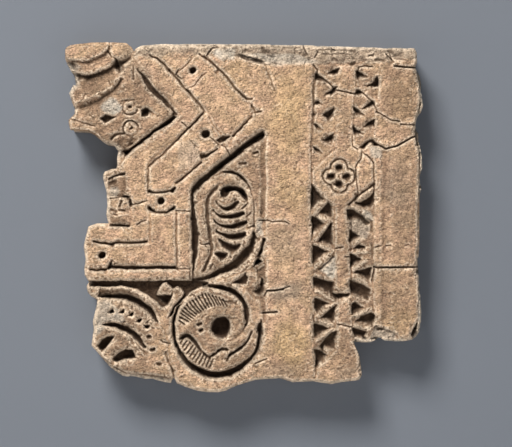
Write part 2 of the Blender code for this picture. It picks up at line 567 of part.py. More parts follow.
def broken_edges():
    """Where the face has broken away along the outline, and where the backing shows past the carved edge."""
    losses = {
        "loss_beside_upright": (BROKEN_DROP, [
            (130.8, 171), (131, 197), (108, 196), (98, 190), (98, 172), (110, 166), (122, 173)]),
        "loss_under_wing": (BROKEN_DROP, [
            (88, 129.5), (95, 133), (104, 137), (116, 140), (124, 146), (127, 153), (118, 172), (95, 160),
            (80, 140)]),
        "loss_at_fan_foot": (BROKEN_DROP, [
            (86, 350), (98, 353), (106, 360), (115, 367), (126, 373), (150, 375), (171, 377.5), (170, 392),
            (90, 392)]),
        "loss_at_border_foot": (BROKEN_DROP, [
            (376, 326), (390, 330), (397, 335), (404, 346), (362, 350), (368, 338)]),
        "backing_right_edge": (BACKING_DROP, [
            (418.2, 55), (416.8, 66), (417.4, 80), (417.8, 100), (416.5, 118), (416.2, 125), (417, 140),
            (418.4, 165), (417.6, 190), (417, 215), (417, 260), (418.2, 300), (416.8, 325), (411, 336),
            (420, 346), (432, 346), (432, 55)]),
        "backing_under_step": (BACKING_DROP, [
            (354, 341.4), (360, 339.6), (368, 340.6), (377, 337), (382, 337.5), (386, 348), (354, 348)]),
    }
    for name, (drop, edge) in losses.items():
        pit(name, edge, drop, ZONE_FLOOR)


def wing():
    """The corner at the upper left: overlapping bands, their broken slopes, and the tile with two ringed eyes."""
    groove("upper_band_line", [
        (66, 59.6), (78, 62.8), (85, 62.5), (92, 61), (98, 57.5), (108, 49.5), (108, 45),
    ], LINE_WIDTH, BAR_GAP_DEPTH)
    channel("middle_band_cut",
            [(78, 80.8), (83, 76), (98, 73), (111, 65)],
            [(84, 80.6), (93, 79), (103, 75), (113.5, 68)], RING_DEPTH)
    pit("band_end_pocket", [(112, 64), (118, 57.5), (127, 60), (127, 64), (120, 71), (114, 69)], RING_DEPTH)
    channel("lower_band_slope",
            [(76, 103.2), (84, 101), (93, 98), (100, 94), (111, 86)],
            [(78, 109), (87, 106.8), (98, 102.3), (106, 98), (112.5, 92.5)],
            BAR_GAP_DEPTH, SLOPE_DRAW_IN, STEEP_DRAW_IN)
    pit("tile_pocket_left", [(99, 119), (102, 117.5), (105, 113.5), (112, 118.5), (105, 123)], BAR_GAP_DEPTH)
    pit("tile_pocket_right", [(141, 114), (143, 110), (145, 107), (158, 114.5), (150, 115), (146, 117)],
        BAR_GAP_DEPTH)
    for number, centre in enumerate([(130, 106), (131.3, 127)]):
        ring_groove(f"eye_ring_{number}", centre, EYE_RING_RADIUS)
        drilled(f"eye_hole_{number}", centre, EYE_HOLE_RADIUS, LINE_DEPTH)


clear_file()
panel_parts = new_collection("carved_panel_fragment")
cutters = new_collection("carving_cutters")

outline = [on_panel(point) for point in OUTLINE]
panel = flat_solid("carved_panel", [outline], SLAB_THICKNESS, 0.0, panel_parts)
panel.data.materials.clear()
panel.data.materials.append(stucco_material())

strapwork()
bosses()
leaf()
scroll_medallion()
fan_medallion()
buds()
zigzag_strip()
roundel()
wing()
lowered_grounds()
broken_edges()

carving = panel.modifiers.new("carving", "BOOLEAN")
carving.operation = "DIFFERENCE"
carving.operand_type = "COLLECTION"
carving.collection = cutters
carving.solver = "EXACT"
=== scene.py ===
"""Looks of the carved stucco panel fragment: a worn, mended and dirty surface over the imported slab."""
import math

import bmesh
import bpy
import numpy as np
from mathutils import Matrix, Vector
from mathutils.bvhtree import BVHTree
from mathutils.geometry import delaunay_2d_cdt


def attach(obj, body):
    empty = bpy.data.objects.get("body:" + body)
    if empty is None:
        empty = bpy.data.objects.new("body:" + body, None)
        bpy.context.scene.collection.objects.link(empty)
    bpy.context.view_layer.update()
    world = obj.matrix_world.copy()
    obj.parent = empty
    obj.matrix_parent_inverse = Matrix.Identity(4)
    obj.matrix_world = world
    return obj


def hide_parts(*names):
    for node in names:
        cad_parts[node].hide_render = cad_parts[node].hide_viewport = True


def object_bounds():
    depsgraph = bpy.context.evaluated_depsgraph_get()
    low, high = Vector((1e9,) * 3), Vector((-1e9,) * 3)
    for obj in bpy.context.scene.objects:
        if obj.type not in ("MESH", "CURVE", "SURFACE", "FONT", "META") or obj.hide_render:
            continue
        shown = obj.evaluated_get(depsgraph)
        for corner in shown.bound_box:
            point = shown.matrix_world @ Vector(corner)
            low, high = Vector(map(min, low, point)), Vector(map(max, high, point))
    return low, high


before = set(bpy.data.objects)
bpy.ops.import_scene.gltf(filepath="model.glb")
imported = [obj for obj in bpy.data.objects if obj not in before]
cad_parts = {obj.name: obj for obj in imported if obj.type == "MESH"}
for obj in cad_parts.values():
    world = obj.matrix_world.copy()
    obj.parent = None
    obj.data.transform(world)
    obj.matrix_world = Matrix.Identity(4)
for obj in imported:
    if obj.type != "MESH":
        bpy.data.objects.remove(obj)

CAD_LOW, CAD_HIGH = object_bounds()

# The squared drawing that the carving is set out on: X to the right, Y down, in drawing units
DRAWING_LEFT, DRAWING_RIGHT = 65, 423.7
DRAWING_TOP, DRAWING_BOTTOM = 42, 392.7
MIDDLE_X = (DRAWING_LEFT + DRAWING_RIGHT) / 2
MIDDLE_Y = (DRAWING_TOP + DRAWING_BOTTOM) / 2
UNIT = (CAD_HIGH.x - CAD_LOW.x) / (DRAWING_RIGHT - DRAWING_LEFT)
FACE = CAD_LOW.y
BACK = CAD_HIGH.y
MM = 0.001

# The picture's frame, in drawing units
PICTURE_WIDE, PICTURE_HIGH = 512, 447
LENS, SENSOR = 135, 36

PITCH = 1.1 * MM
STEP = PITCH / UNIT
MOST_TRIANGLES = 196000
SIDE_RINGS = 14
BACK_SPACING = 4.0


# Points, noise and distances, all in numpy arrays

def lattice(x, y, z, seed):
    """A fixed value from -1 to 1 at each whole-number place."""
    mixed = (x * 73856093) ^ (y * 19349663) ^ (z * 83492791) ^ (seed * 2654435761)
    mixed = (mixed ^ (mixed >> 13)) * 1274126177 & 0xFFFFFFFF
    mixed = (mixed ^ (mixed >> 16)) * 668265263 & 0xFFFFFFFF
    return ((mixed >> 8) & 0xFFFF) / 32767.5 - 1.0


def noise(points, size, seed):
    """Smooth noise from -1 to 1 whose lumps are about size across."""
    places = points / size + 64.0
    whole = np.floor(places).astype(np.int64)
    part = places - whole
    part = part * part * (3 - 2 * part)
    total = np.zeros(len(points))
    for corner in range(8):
        dx, dy, dz = corner & 1, corner >> 1 & 1, corner >> 2 & 1
        weight = (
            (part[:, 0] if dx else 1 - part[:, 0])
            * (part[:, 1] if dy else 1 - part[:, 1])
            * (part[:, 2] if dz else 1 - part[:, 2])
        )
        total += weight * lattice(whole[:, 0] + dx, whole[:, 1] + dy, whole[:, 2] + dz, seed)
    return total


def rough(points, size, seed, layers=3):
    """Noise in layers, each half the size and half the strength of the last."""
    total = np.zeros(len(points))
    for layer in range(layers):
        total += noise(points, size / 2 ** layer, seed + layer * 17) / 2 ** layer
    return total / 1.75


def clamp(values, low=0.0, high=1.0):
    return np.minimum(np.maximum(values, low), high)


def ramp(values, start, end):
    """0 at start, 1 at end, smooth between."""
    share = clamp((values - start) / (end - start))
    return share * share * (3 - 2 * share)


def nearest_on(spots, path, closed=False):
    """Each spot's distance to a path, the nearest place on it, and how far along that lies, from 0 to 1."""
    legs = list(zip(path, path[1:]))
    if closed:
        legs.append((path[-1], path[0]))
    lengths = [math.dist(a, b) for a, b in legs]
    total = max(sum(lengths), 1e-9)
    nearest = np.full(spots.shape[:-1], 1e9)
    places = np.zeros(spots.shape)
    along = np.zeros(spots.shape[:-1])
    gone = 0.0
    for (a, b), length in zip(legs, lengths):
        way = (np.array(b, float) - a) / max(length, 1e-9)
        reach = clamp((spots - a) @ way, 0.0, length)
        there = np.array(a, float) + reach[..., None] * way
        away = np.hypot(spots[..., 0] - there[..., 0], spots[..., 1] - there[..., 1])
        closer = away < nearest
        nearest[closer] = away[closer]
        places[closer] = there[closer]
        along[closer] = (gone + reach[closer]) / total
        gone += length
    return nearest, places, along


def inside(spots, outline):
    """True for each spot inside a closed outline."""
    crossings = np.zeros(spots.shape[:-1], bool)
    x, y = spots[..., 0], spots[..., 1]
    for (ax, ay), (bx, by) in zip(outline, outline[1:] + outline[:1]):
        if ay != by:
            spans = (ay > y) != (by > y)
            crossings ^= spans & (x < (bx - ax) * (y - ay) / (by - ay) + ax)
    return crossings


def within(spots, outline):
    """Each spot's distance inside a closed outline; outside it is negative."""
    away, _, _ = nearest_on(spots, outline, closed=True)
    return np.where(inside(spots, outline), away, -away)


def on_sheet(spots):
    """The same spots as points in space, for the noise functions."""
    return np.concatenate([spots.reshape(-1, 2), np.zeros((spots.size // 2, 1))], axis=1)


def strayed(spots, amount, size, seed):
    """Spots pushed about by noise, so that a drawn line comes out as if by hand."""
    sheet = on_sheet(spots)
    push = np.column_stack([rough(sheet, size, seed), rough(sheet, size, seed + 5)])
    return spots + amount * push.reshape(spots.shape)


def curve(points, rounds=2):
    """A smooth line through about the given points, by cutting corners."""
    line = [tuple(map(float, p)) for p in points]
    for _ in range(rounds):
        cut = [line[0]]
        for (ax, ay), (bx, by) in zip(line, line[1:]):
            cut.append((ax * 0.75 + bx * 0.25, ay * 0.75 + by * 0.25))
            cut.append((ax * 0.25 + bx * 0.75, ay * 0.25 + by * 0.75))
        cut.append(line[-1])
        line = cut
    return line


# The relief: how deep the front lies below the face

def welded(node):
    """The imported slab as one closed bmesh."""
    solid = bmesh.new()
    solid.from_mesh(node.data)
    bmesh.ops.remove_doubles(solid, verts=solid.verts, dist=0.01 * MM)
    return solid


def back_outline(solid):
    """The panel's outline on the drawing, read from the edge of its flat back."""
    rim = {}
    for edge in solid.edges:
        flat = sorted(face.normal.y > 0.9 for face in edge.link_faces)
        if flat == [False, True] and all(v.co.y > BACK - 0.1 * MM for v in edge.verts):
            start, end = edge.verts
            rim.setdefault(start, []).append(end)
            rim.setdefault(end, []).append(start)
    walk = [next(iter(rim))]
    while True:
        onward = [v for v in rim[walk[-1]] if v not in walk[-2:]]
        if not onward or onward[0] == walk[0]:
            break
        walk.append(onward[0])
    return [(v.co.x / UNIT + MIDDLE_X, MIDDLE_Y - v.co.z / UNIT) for v in walk]


class Relief:
    """The front as a sheet of depths below the face, in metres, on an even grid over the drawing."""

    def __init__(self, solid, outline):
        self.outline = outline
        self.x = np.arange(DRAWING_LEFT - STEP, DRAWING_RIGHT + 2 * STEP, STEP)
        self.y = np.arange(DRAWING_TOP - STEP, DRAWING_BOTTOM + 2 * STEP, STEP)
        self.spots = np.stack(np.meshgrid(self.x, self.y), axis=-1)
        self.rim = within(self.spots, outline)
        self.depth = self.measured(solid)
        # dark marks laid with the cuts and breaks: dirt in the cracks, painted shade in holes, pits, cuts
        # and scars
        self.stain_and_shade = np.zeros(self.depth.shape)

    def measured(self, solid):
        """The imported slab's own front, felt by rays from in front of it."""
        tree = BVHTree.FromBMesh(solid)
        ahead = Vector((0, 1, 0))
        depth = np.full(self.rim.shape, 12 * MM)
        for row, column in zip(*np.nonzero(self.rim > 0)):
            x, y = self.spots[row, column]
            start = Vector(((x - MIDDLE_X) * UNIT, FACE - 5 * MM, (MIDDLE_Y - y) * UNIT))
            place = tree.ray_cast(start, ahead)[0]
            if place:
                depth[row, column] = place.y - FACE
        return depth

    def window(self, path, reach):
        """The part of the sheet around a path: its slices and its spots."""
        path = np.array(path, float)
        low = path.min(axis=0) - reach
        high = path.max(axis=0) + reach
        rows = slice(*np.searchsorted(self.y, (low[1], high[1])))
        columns = slice(*np.searchsorted(self.x, (low[0], high[0])))
        return (rows, columns), self.spots[rows, columns]

    def level(self, outline, depth, feather=1.0):
        """Bring everything inside an outline to one depth."""
        area, spots = self.window(outline, feather)
        share = ramp(within(spots, outline), -feather, feather)
        self.depth[area] += (depth - self.depth[area]) * share

    def lower(self, outline, depth, feather=1.0):
        """Sink everything inside an outline."""
        area, spots = self.window(outline, feather)
        self.depth[area] += depth * ramp(within(spots, outline), -feather, feather)

    def lean(self, outline, start, end, depth, feather=1.5):
        """Let the surface inside an outline fall away from start to end."""
        area, spots = self.window(outline, feather)
        way = np.array(end, float) - start
        share = clamp((spots - start) @ way / (way @ way))
        self.depth[area] += depth * share * ramp(within(spots, outline), -feather, feather)

    def groove(self, path, width, depth, wander=0.0, seed=1, stain_and_shade=0.0):
        """A cut along a path, round at its floor. With wander it strays from the drawn line."""
        area, spots = self.window(path, width + wander * 2 + 1)
        if wander:
            spots = strayed(spots, wander, 7.0, seed)
            spots = strayed(spots, wander * 0.4, 2.6, seed + 30)
        away, _, _ = nearest_on(spots, path)
        shape = clamp(1 - (away / (width / 2)) ** 2)
        self.depth[area] += depth * shape
        self.stain_and_shade[area] = np.maximum(self.stain_and_shade[area], stain_and_shade * shape)

    def valley(self, upper, lower, depth, deepest=0.5, stain_and_shade=0.0):
        """A hollow between two lines, deepest at that share of the way from the upper to the lower."""
        outline = upper + lower[::-1]
        area, spots = self.window(outline, 1)
        above, _, _ = nearest_on(spots, upper)
        below, _, _ = nearest_on(spots, lower)
        wide = above + below
        share = above / np.maximum(wide, 1e-6)
        shape = clamp(np.minimum(share / deepest, (1 - share) / (1 - deepest)))
        shape = shape * (2 - shape)
        shape *= clamp(wide / np.percentile(wide[inside(spots, outline)], 60))
        shape *= inside(spots, outline)
        self.depth[area] += depth * shape
        self.stain_and_shade[area] = np.maximum(self.stain_and_shade[area], stain_and_shade * clamp(shape * 1.5))

    def band(self, path, width, crown, foot):
        """A rounded ridge along a path, from its crown's depth down to its foot's."""
        area, spots = self.window(path, width)
        away, _, _ = nearest_on(spots, path)
        share = away / (width / 2)
        surface = crown + (foot - crown) * share ** 2
        self.depth[area] = np.where(share < 1, np.minimum(self.depth[area], surface), self.depth[area])

    def plate(self, upper, lower, top, lip):
        """A plate between two lines that rises from its top's depth to its lip's, and ends in a step."""
        outline = upper + lower[::-1]
        area, spots = self.window(outline, 1)
        above, _, _ = nearest_on(spots, upper)
        below, _, _ = nearest_on(spots, lower)
        share = above / np.maximum(above + below, 1e-6)
        surface = top + (lip - top) * share ** 0.8
        self.depth[area] = np.where(inside(spots, outline), surface, self.depth[area])

    def pit(self, outline, depth, wall=2.0, wider=0.4, stain_and_shade=0.0):
        """A hole with walls that slope over a short way."""
        area, spots = self.window(outline, 1 + wider)
        shape = ramp(within(spots, outline), -wider, wall)
        self.depth[area] += depth * shape
        self.stain_and_shade[area] = np.maximum(self.stain_and_shade[area], stain_and_shade * shape)

    def noise(self, size, seed, layers=2):
        """Layered noise over the whole sheet."""
        return rough(on_sheet(self.spots), size, seed, layers).reshape(self.depth.shape)


def blurred(values, width):
    """Values smoothed over about a width in drawing units."""
    spread = width / STEP
    across = np.fft.fftfreq(values.shape[1] * 2)
    down = np.fft.fftfreq(values.shape[0] * 2)
    fall = np.exp(-2 * (math.pi * spread) ** 2 * (across[None, :] ** 2 + down[:, None] ** 2))
    mirrored = np.pad(values, ((0, values.shape[0]), (0, values.shape[1])), "symmetric")
    smooth = np.fft.ifft2(np.fft.fft2(mirrored) * fall).real
    return smooth[:values.shape[0], :values.shape[1]]


def arc_of(middle, radii, start, end, count=24):
    """Points along part of an ellipse, by degrees clockwise from the right."""
    turns = np.radians(np.linspace(start, end, count))
    return [(middle[0] + radii[0] * math.cos(t), middle[1] + radii[1] * math.sin(t)) for t in turns]


# The carver's work, region by region. Outlines and paths are in drawing units.
# In a table of cuts, each has its path, its width in drawing units and its depth in millimetres.

def carve_straps(relief):
    """Wide mouths on the strap lines, and the deep channels beside the tile."""
    strap_edge = [(133.5, 56), (138, 62), (146.4, 71.4), (154.6, 81), (163, 90), (173, 100.6), (184, 113.4)]
    strap_foot = [(132, 60), (135.4, 65.4), (143.6, 74.2), (151.8, 83.8), (160, 92.8), (169.8, 103.4),
                  (179, 114.2)]
    tile_edge = [(130, 66), (133, 84), (141, 96), (150, 105), (160, 111), (170, 115), (177, 117)]
    relief.level(strap_edge + tile_edge[::-1], depth=1.2 * MM, feather=0.4)
    relief.valley(curve(strap_edge), curve(tile_edge), depth=4.6 * MM, deepest=0.36)
    relief.valley(curve(strap_foot), curve(tile_edge), depth=8 * MM, deepest=0.22, stain_and_shade=0.22)
    tile_channel_upper = [(171, 108), (167, 113), (159, 119), (146, 127), (134, 137), (121, 148)]
    tile_channel_lower = [(178, 115), (172, 122), (163, 130.6), (150, 139.6), (138, 148.6), (126, 156.6)]
    relief.valley(curve(tile_channel_upper), curve(tile_channel_lower), depth=6.5 * MM, deepest=0.6,
                  stain_and_shade=0.2)
    lower_strap_line = [(184, 117), (172, 128), (160, 138), (147, 149), (134, 160)]
    relief.groove(lower_strap_line, width=3.2, depth=1.3 * MM, wander=0.5, stain_and_shade=0.22)
    upper_strap_line = [(141, 62), (150, 74), (160, 86), (172, 100), (184, 111)]
    relief.groove(upper_strap_line, width=3.0, depth=0.9 * MM, wander=0.5, stain_and_shade=0.15)
    strap_lines = [
        ([(148, 55), (156, 57), (160, 60), (166, 67), (172, 74), (176, 78), (184, 88), (188, 90)],
         4.4, 2.6),
        ([(188, 90), (191, 95), (197, 103), (204, 110)], 4.0, 2.0),
        ([(203, 114), (197, 120), (190, 126), (180, 136), (170, 144), (160, 153), (149, 163)], 5.0, 3.2),
        ([(206, 56), (210, 61), (222, 73), (228, 80), (236, 88.5), (246, 99)], 4.2, 2.6),
        ([(250, 115), (239, 130), (232, 135), (224, 140)], 4.2, 2.6),
        ([(204, 160), (196, 166), (186, 176), (176, 184)], 4.4, 3.0),
        ([(94, 242), (107, 243), (110, 246), (115, 243), (147, 241.5)], 5.0, 3.4),
        ([(113, 268), (175, 268)], 6.0, 3.4), ([(92, 269.5), (107, 269.5), (111, 264)], 5.2, 4.2),
        ([(148, 166), (148.4, 190)], 4.6, 3.0), ([(149.8, 209), (149.6, 243)], 3.6, 3.2),
        ([(130.4, 200), (131.3, 210), (131, 225)], 4.2, 2.6),
        ([(176.6, 212), (176.8, 262), (177, 268)], 4.6, 3.0),
    ]
    for path, width, depth in strap_lines:
        relief.groove(path, width, depth * MM, wander=0.3)
    boss_cuts = [
        ([(148.4, 191.6), (153, 192.8), (166, 191.6), (172, 190.6), (175, 188)], 3.2, 4.4),
        ([(148.6, 192)] * 2, 4.4, 4.0), ([(172.6, 190.6), (174.6, 188.6)], 4.8, 4.4),
        ([(149, 208.4), (155, 212.6), (166.6, 212.8), (175, 207)], 3.4, 4.6),
        ([(149, 208.4), (152, 211.4)], 4.6, 4.0), ([(171, 210.4), (174.6, 207.4)], 4.6, 4.0),
        ([(110.4, 243.6), (112.4, 246)], 4.0, 3.4), ([(108.4, 269.4), (112.6, 260.4)], 2.6, 3.6),
    ]
    for path, width, depth in boss_cuts:
        relief.groove(path, width, depth * MM, wander=0.4, stain_and_shade=0.7)


def carve_leaf(relief):
    """The leaf in its lowered field: a round frame, a hooked curl, and spoon-shaped cuts."""
    field = [(263, 134), (262, 252), (252, 262), (246, 270), (230, 277), (212, 283), (192, 281), (191, 190),
             (207, 176), (227, 161), (247, 144)]
    relief.level(field, depth=9 * MM, feather=0.5)
    # ground between the strap and the leaf: a lit slope with a soft hollow along the upright
    ground = [(266, 136), (266, 246), (254, 246), (255, 212), (253, 199), (249, 186), (242, 176),
              (232, 171.5), (222, 170), (230, 163), (246, 150)]
    relief.level(ground, depth=3.6 * MM, feather=0.7)
    strap_shade_upper = [(262.4, 131.6), (245, 144), (228.1, 156.5), (207.7, 174.9), (192.4, 188)]
    strap_shade_lower = [(264.6, 137), (245.5, 149.8), (229.1, 162.4), (217.9, 171.6), (202.6, 185),
                         (193.6, 193.6)]
    relief.valley(strap_shade_upper, strap_shade_lower, depth=11 * MM, deepest=0.35)
    upright_hollow = [(262.4, 139), (262.8, 170), (263, 200), (262.6, 222)]
    relief.groove(curve(upright_hollow), width=6.4, depth=2.8 * MM)
    upper_nick = [(253.6, 153.6), (257.6, 152)]
    relief.groove(upper_nick, width=3.4, depth=5 * MM, wander=0.5, stain_and_shade=0.8)
    lower_nick = [(240.4, 163.6), (246, 162.8)]
    relief.groove(lower_nick, width=3.8, depth=4.5 * MM, wander=0.5, stain_and_shade=0.7)
    ground_slope = [(226, 168), (250, 150), (262, 150), (258, 210), (250, 188)]
    relief.lean(ground_slope, start=(256, 150), end=(238, 172), depth=1.6 * MM)
    # the frame's body and its round ridge
    body = curve([(194.2, 279), (193.9, 268), (196, 257.6), (198.5, 242.2), (198, 232), (195.5, 216.7),
                  (193.9, 201.4), (194.2, 194.5), (203, 186), (214, 176.5), (223, 173.4), (233, 175),
                  (241.4, 179), (247.5, 185), (251, 192), (253.6, 202), (254.7, 212), (252.6, 228),
                  (248.5, 242.2), (243.4, 250.4), (236, 257.5), (227.1, 265.7), (215.9, 270.8),
                  (205.7, 275.9), (194.2, 279)])
    relief.level(body, depth=4.6 * MM, feather=0.8)
    frame_line = curve([(199, 272), (203, 258), (204.4, 243), (202.6, 228), (200.6, 214), (200.4, 202),
                        (204, 192), (213, 183), (223, 179.4), (232, 179.6), (240, 183), (246.4, 189.5),
                        (250, 198), (251.4, 210), (250, 226), (245, 242)])
    relief.band(frame_line, width=10.5, crown=2.0 * MM, foot=6.4 * MM)
    frame_groove = [(216.9, 187.1), (211.8, 192.2), (207.7, 199.4), (206.4, 208), (207, 221.8),
                    (208.9, 232), (211.5, 242.2), (211.8, 252.4), (207.7, 262.7), (202.6, 270.8)]
    relief.groove(curve(frame_groove), width=4.6, depth=5.4 * MM, stain_and_shade=0.25)
    left_channel_upper = [(191.2, 206), (191.2, 227), (191.6, 244), (192.6, 258), (192.6, 272)]
    left_channel_lower = [(193.9, 203), (195.5, 216.7), (198, 232), (198.5, 242.2), (196, 257.6),
                          (193.9, 270)]
    relief.valley(curve(left_channel_upper), curve(left_channel_lower), depth=10 * MM, deepest=0.5)
    left_crease = [(192.4, 189), (192.6, 206)]
    relief.groove(left_crease, width=2.0, depth=6 * MM, wander=0.2, stain_and_shade=0.6)
    top_channel_upper = [(220.5, 171.4), (227, 170.4), (234, 171.2), (242, 174.4), (248.6, 181.6),
                         (251, 190)]
    top_channel_lower = [(220.5, 172.2), (227, 173.4), (233, 174.4), (240.4, 178), (246.6, 184), (251, 190)]
    relief.valley(curve(top_channel_upper), curve(top_channel_lower), depth=9 * MM, deepest=0.55)
    right_crease = [(250, 187), (253.4, 200), (254.6, 212), (254, 226)]
    relief.groove(curve(right_crease), width=1.8, depth=2.6 * MM, wander=0.3, stain_and_shade=0.4)
    # the hooked curl: a round eye, a black crescent over it, and the lit drop of its tongue
    curl_eye = [(220, 193.3), (222, 188), (229, 185.6), (237, 186), (243.4, 190), (247.5, 196.3),
                (248, 200.4), (245.5, 198), (241.4, 193.3), (235.3, 190.2), (230.2, 191.2), (228, 195.3),
                (225, 198), (221, 196.8)]
    relief.pit(curl_eye, depth=11 * MM, wall=0.8, wider=0.7, stain_and_shade=0.9)
    crescent_upper = [(223.5, 188.4), (230, 185.8), (238.3, 188.2), (244, 192.8), (248.4, 202)]
    crescent_lower = [(227, 193.4), (232, 190.8), (236.6, 191.2), (241, 196), (247, 202.6)]
    relief.valley(curve(crescent_upper), curve(crescent_lower), depth=13 * MM, deepest=0.42)
    tongue = [(222.5, 200), (229, 201), (234, 197.4), (234.6, 194)]
    relief.band(curve(tongue), width=5.4, crown=2.2 * MM, foot=6.4 * MM)
    ribs = [
        ([(214.8, 199), (218.9, 204.7), (225.1, 206.8), (231.2, 205), (235.3, 200.8), (238.9, 200.2)],
         [(215.2, 201.8), (220.6, 208.2), (228.1, 211), (234.8, 208.8), (239.4, 202.6)], 10),
        ([(212.4, 208.2), (217.9, 213.6), (226.1, 214.8), (235.3, 212.9), (244, 210.6)],
         [(212.8, 210.4), (219.6, 217), (229.1, 219), (239, 217.6), (245.4, 213.8)], 11),
        ([(213.2, 218.2), (220, 223.8), (228.1, 225), (237.3, 222.6), (246.8, 219.8)],
         [(214.2, 221.6), (221.6, 227.2), (229.1, 228.9), (239, 228), (247.6, 223.6)], 12),
        ([(215.2, 228.6), (223, 233.2), (231.2, 234), (239.3, 232.4), (245.8, 231.6)],
         [(216.2, 232.4), (224.6, 237.5), (233.2, 239.4), (241.4, 239), (246.8, 235.4)], 12),
        ([(217.8, 238.6), (223, 240.6), (229.1, 242.4), (234, 244.6), (240.2, 242.8)],
         [(218.2, 241.4), (222.4, 247), (229.1, 251), (236, 251.6), (240.8, 246.4)], 12),
        ([(214.4, 253), (218.9, 251.4), (224, 252.6), (228.2, 252.2)],
         [(215, 254.4), (218.4, 257), (221, 261), (226.8, 257), (228.6, 253.4)], 12),
    ]
    for upper, lower, depth in ribs:
        thicker = [(x, y + 1.0) for x, y in lower]
        relief.valley(curve(upper), curve(thicker), depth=depth * 1.15 * MM, deepest=0.45, stain_and_shade=0.85)
    rib_nicks = [
        [(242.4, 208.1), (248, 203)], [(246.5, 216.7), (250.6, 213.2)], [(248, 228), (254, 225.4)],
        [(213, 264), (210, 268.6)], [(225, 266), (232, 262.6)],
    ]
    for path in rib_nicks:
        relief.groove(path, width=2.4, depth=4 * MM, wander=0.3, stain_and_shade=0.7)
    # the deep band under the leaf, and the stalk's round ridge beside it
    under_leaf_upper = [(252.6, 230), (248.9, 242), (243.4, 250.4), (237.3, 256), (227.1, 264.6),
                        (215.9, 270), (205.7, 275), (192.4, 278)]
    under_leaf_lower = [(257.4, 238), (254.8, 247), (251, 256), (243.8, 264), (233.4, 270.8), (221, 275.9),
                        (207.7, 280.4), (192.4, 282.6)]
    relief.valley(curve(under_leaf_upper), curve(under_leaf_lower), depth=13 * MM, deepest=0.5)
    stalk = [(262.4, 233), (259.6, 244.3), (254.6, 254.8), (248.2, 264), (238, 271.4), (223.6, 277.5),
             (211, 283)]
    relief.band(curve(stalk), width=6.6, crown=1.6 * MM, foot=7.5 * MM)
    stalk_cuts = [
        ([(263.4, 239), (261.6, 250), (257, 262)], 4.0, 8),
        ([(258, 262), (262, 268), (255, 268.6)], 5.4, 7), ([(254, 234), (260, 228)], 2.6, 3),
        ([(256.4, 237.6), (259, 240)], 2.4, 3),
    ]
    for path, width, depth in stalk_cuts:
        relief.groove(path, width, depth * MM, wander=0.5, stain_and_shade=0.5)


def carve_buds(relief):
    """The small pointed buds in the corners, each proud of a dark hole."""
    left_corner = [(173, 289), (178, 286.6), (184, 291.4), (181.4, 298), (175, 304.4), (170, 313),
                   (168, 330), (160, 326), (154, 312), (156, 303), (162, 307), (167, 305), (171, 300)]
    relief.level(left_corner, depth=2.6 * MM, feather=0.8)
    left_hole = [(158, 297), (172, 294.5), (166, 306)]
    relief.pit(left_hole, depth=7 * MM, wall=2.5)
    left_petal = [(158, 293), (165, 281), (174, 291), (166, 297)]
    relief.lean(left_petal, start=(166, 286), end=(164, 298), depth=4 * MM)
    right_petal = [(173, 292), (180, 287), (185, 294), (178, 302)]
    relief.lean(right_petal, start=(180, 289), end=(176, 300), depth=4 * MM)
    right_corner = [(231, 283.4), (246, 270.6), (266, 258), (266, 298), (254, 300), (246, 288.6)]
    relief.level(right_corner, depth=5 * MM, feather=1)
    right_hole = [(231.7, 283.1), (240, 276.6), (246, 271), (248.4, 277), (246.6, 284.6), (240, 284.4)]
    relief.pit(right_hole, depth=8 * MM, wall=2)
    bud_hole = [(261.4, 279), (264.2, 279), (265, 284), (264.4, 291), (260, 297.4), (254, 294), (252, 290),
                (259, 287.6)]
    relief.pit(curve(bud_hole), depth=7 * MM, wall=3)
    bud_shadow = [(262.4, 279.6), (261, 284.6)]
    relief.groove(bud_shadow, width=3.0, depth=6 * MM, wander=0.4, stain_and_shade=0.9)
    bud = [(249.6, 273.6), (255.4, 276.2), (258, 280.4), (254.6, 284.6)]
    relief.band(bud, width=8.2, crown=0.4 * MM, foot=6 * MM)
    bud_stem = [(263.4, 264.6), (256, 270.6)]
    relief.groove(bud_stem, width=2.6, depth=-4 * MM)


COMB_ABOVE = [
    ((179.4, 321), (184.4, 324.4)), ((179.8, 317), (188.5, 321.9)), ((181, 313.6), (190.8, 320.4)),
    ((182.6, 311), (193, 318.8)), ((184.6, 308.4), (194.8, 317)), ((187, 305.6), (196.6, 315.4)),
    ((189.5, 303), (198.7, 313.6)), ((192, 300.6), (201, 312)), ((195, 298.4), (203.3, 310.3)),
    ((198, 296.4), (205.9, 309)), ((201.5, 294.8), (208.7, 307.7)), ((205, 294), (211.8, 306.6)),
    ((208.5, 294.4), (214.8, 306)), ((212, 295.2), (217.8, 305.8)), ((215.5, 296.4), (220.7, 305.8)),
    ((219, 298), (223.6, 306.2)), ((223, 300), (226.6, 306.6)),
]
COMB_BELOW = [
    ((183, 338.6), (180.4, 343)), ((187, 340.4), (182.2, 346.8)), ((190, 342.4), (184, 350.4)),
    ((193, 345.4), (186.6, 353.8)), ((195.5, 348), (189.4, 357)), ((198, 351), (192.4, 360.2)),
    ((200.7, 353.6), (195.6, 362.4)), ((203.7, 355.6), (199, 364.4)), ((206.7, 357.3), (202.4, 366.2)),
    ((209.7, 358.6), (205.8, 367.4)), ((212.8, 359.6), (209.4, 367.8)),
]


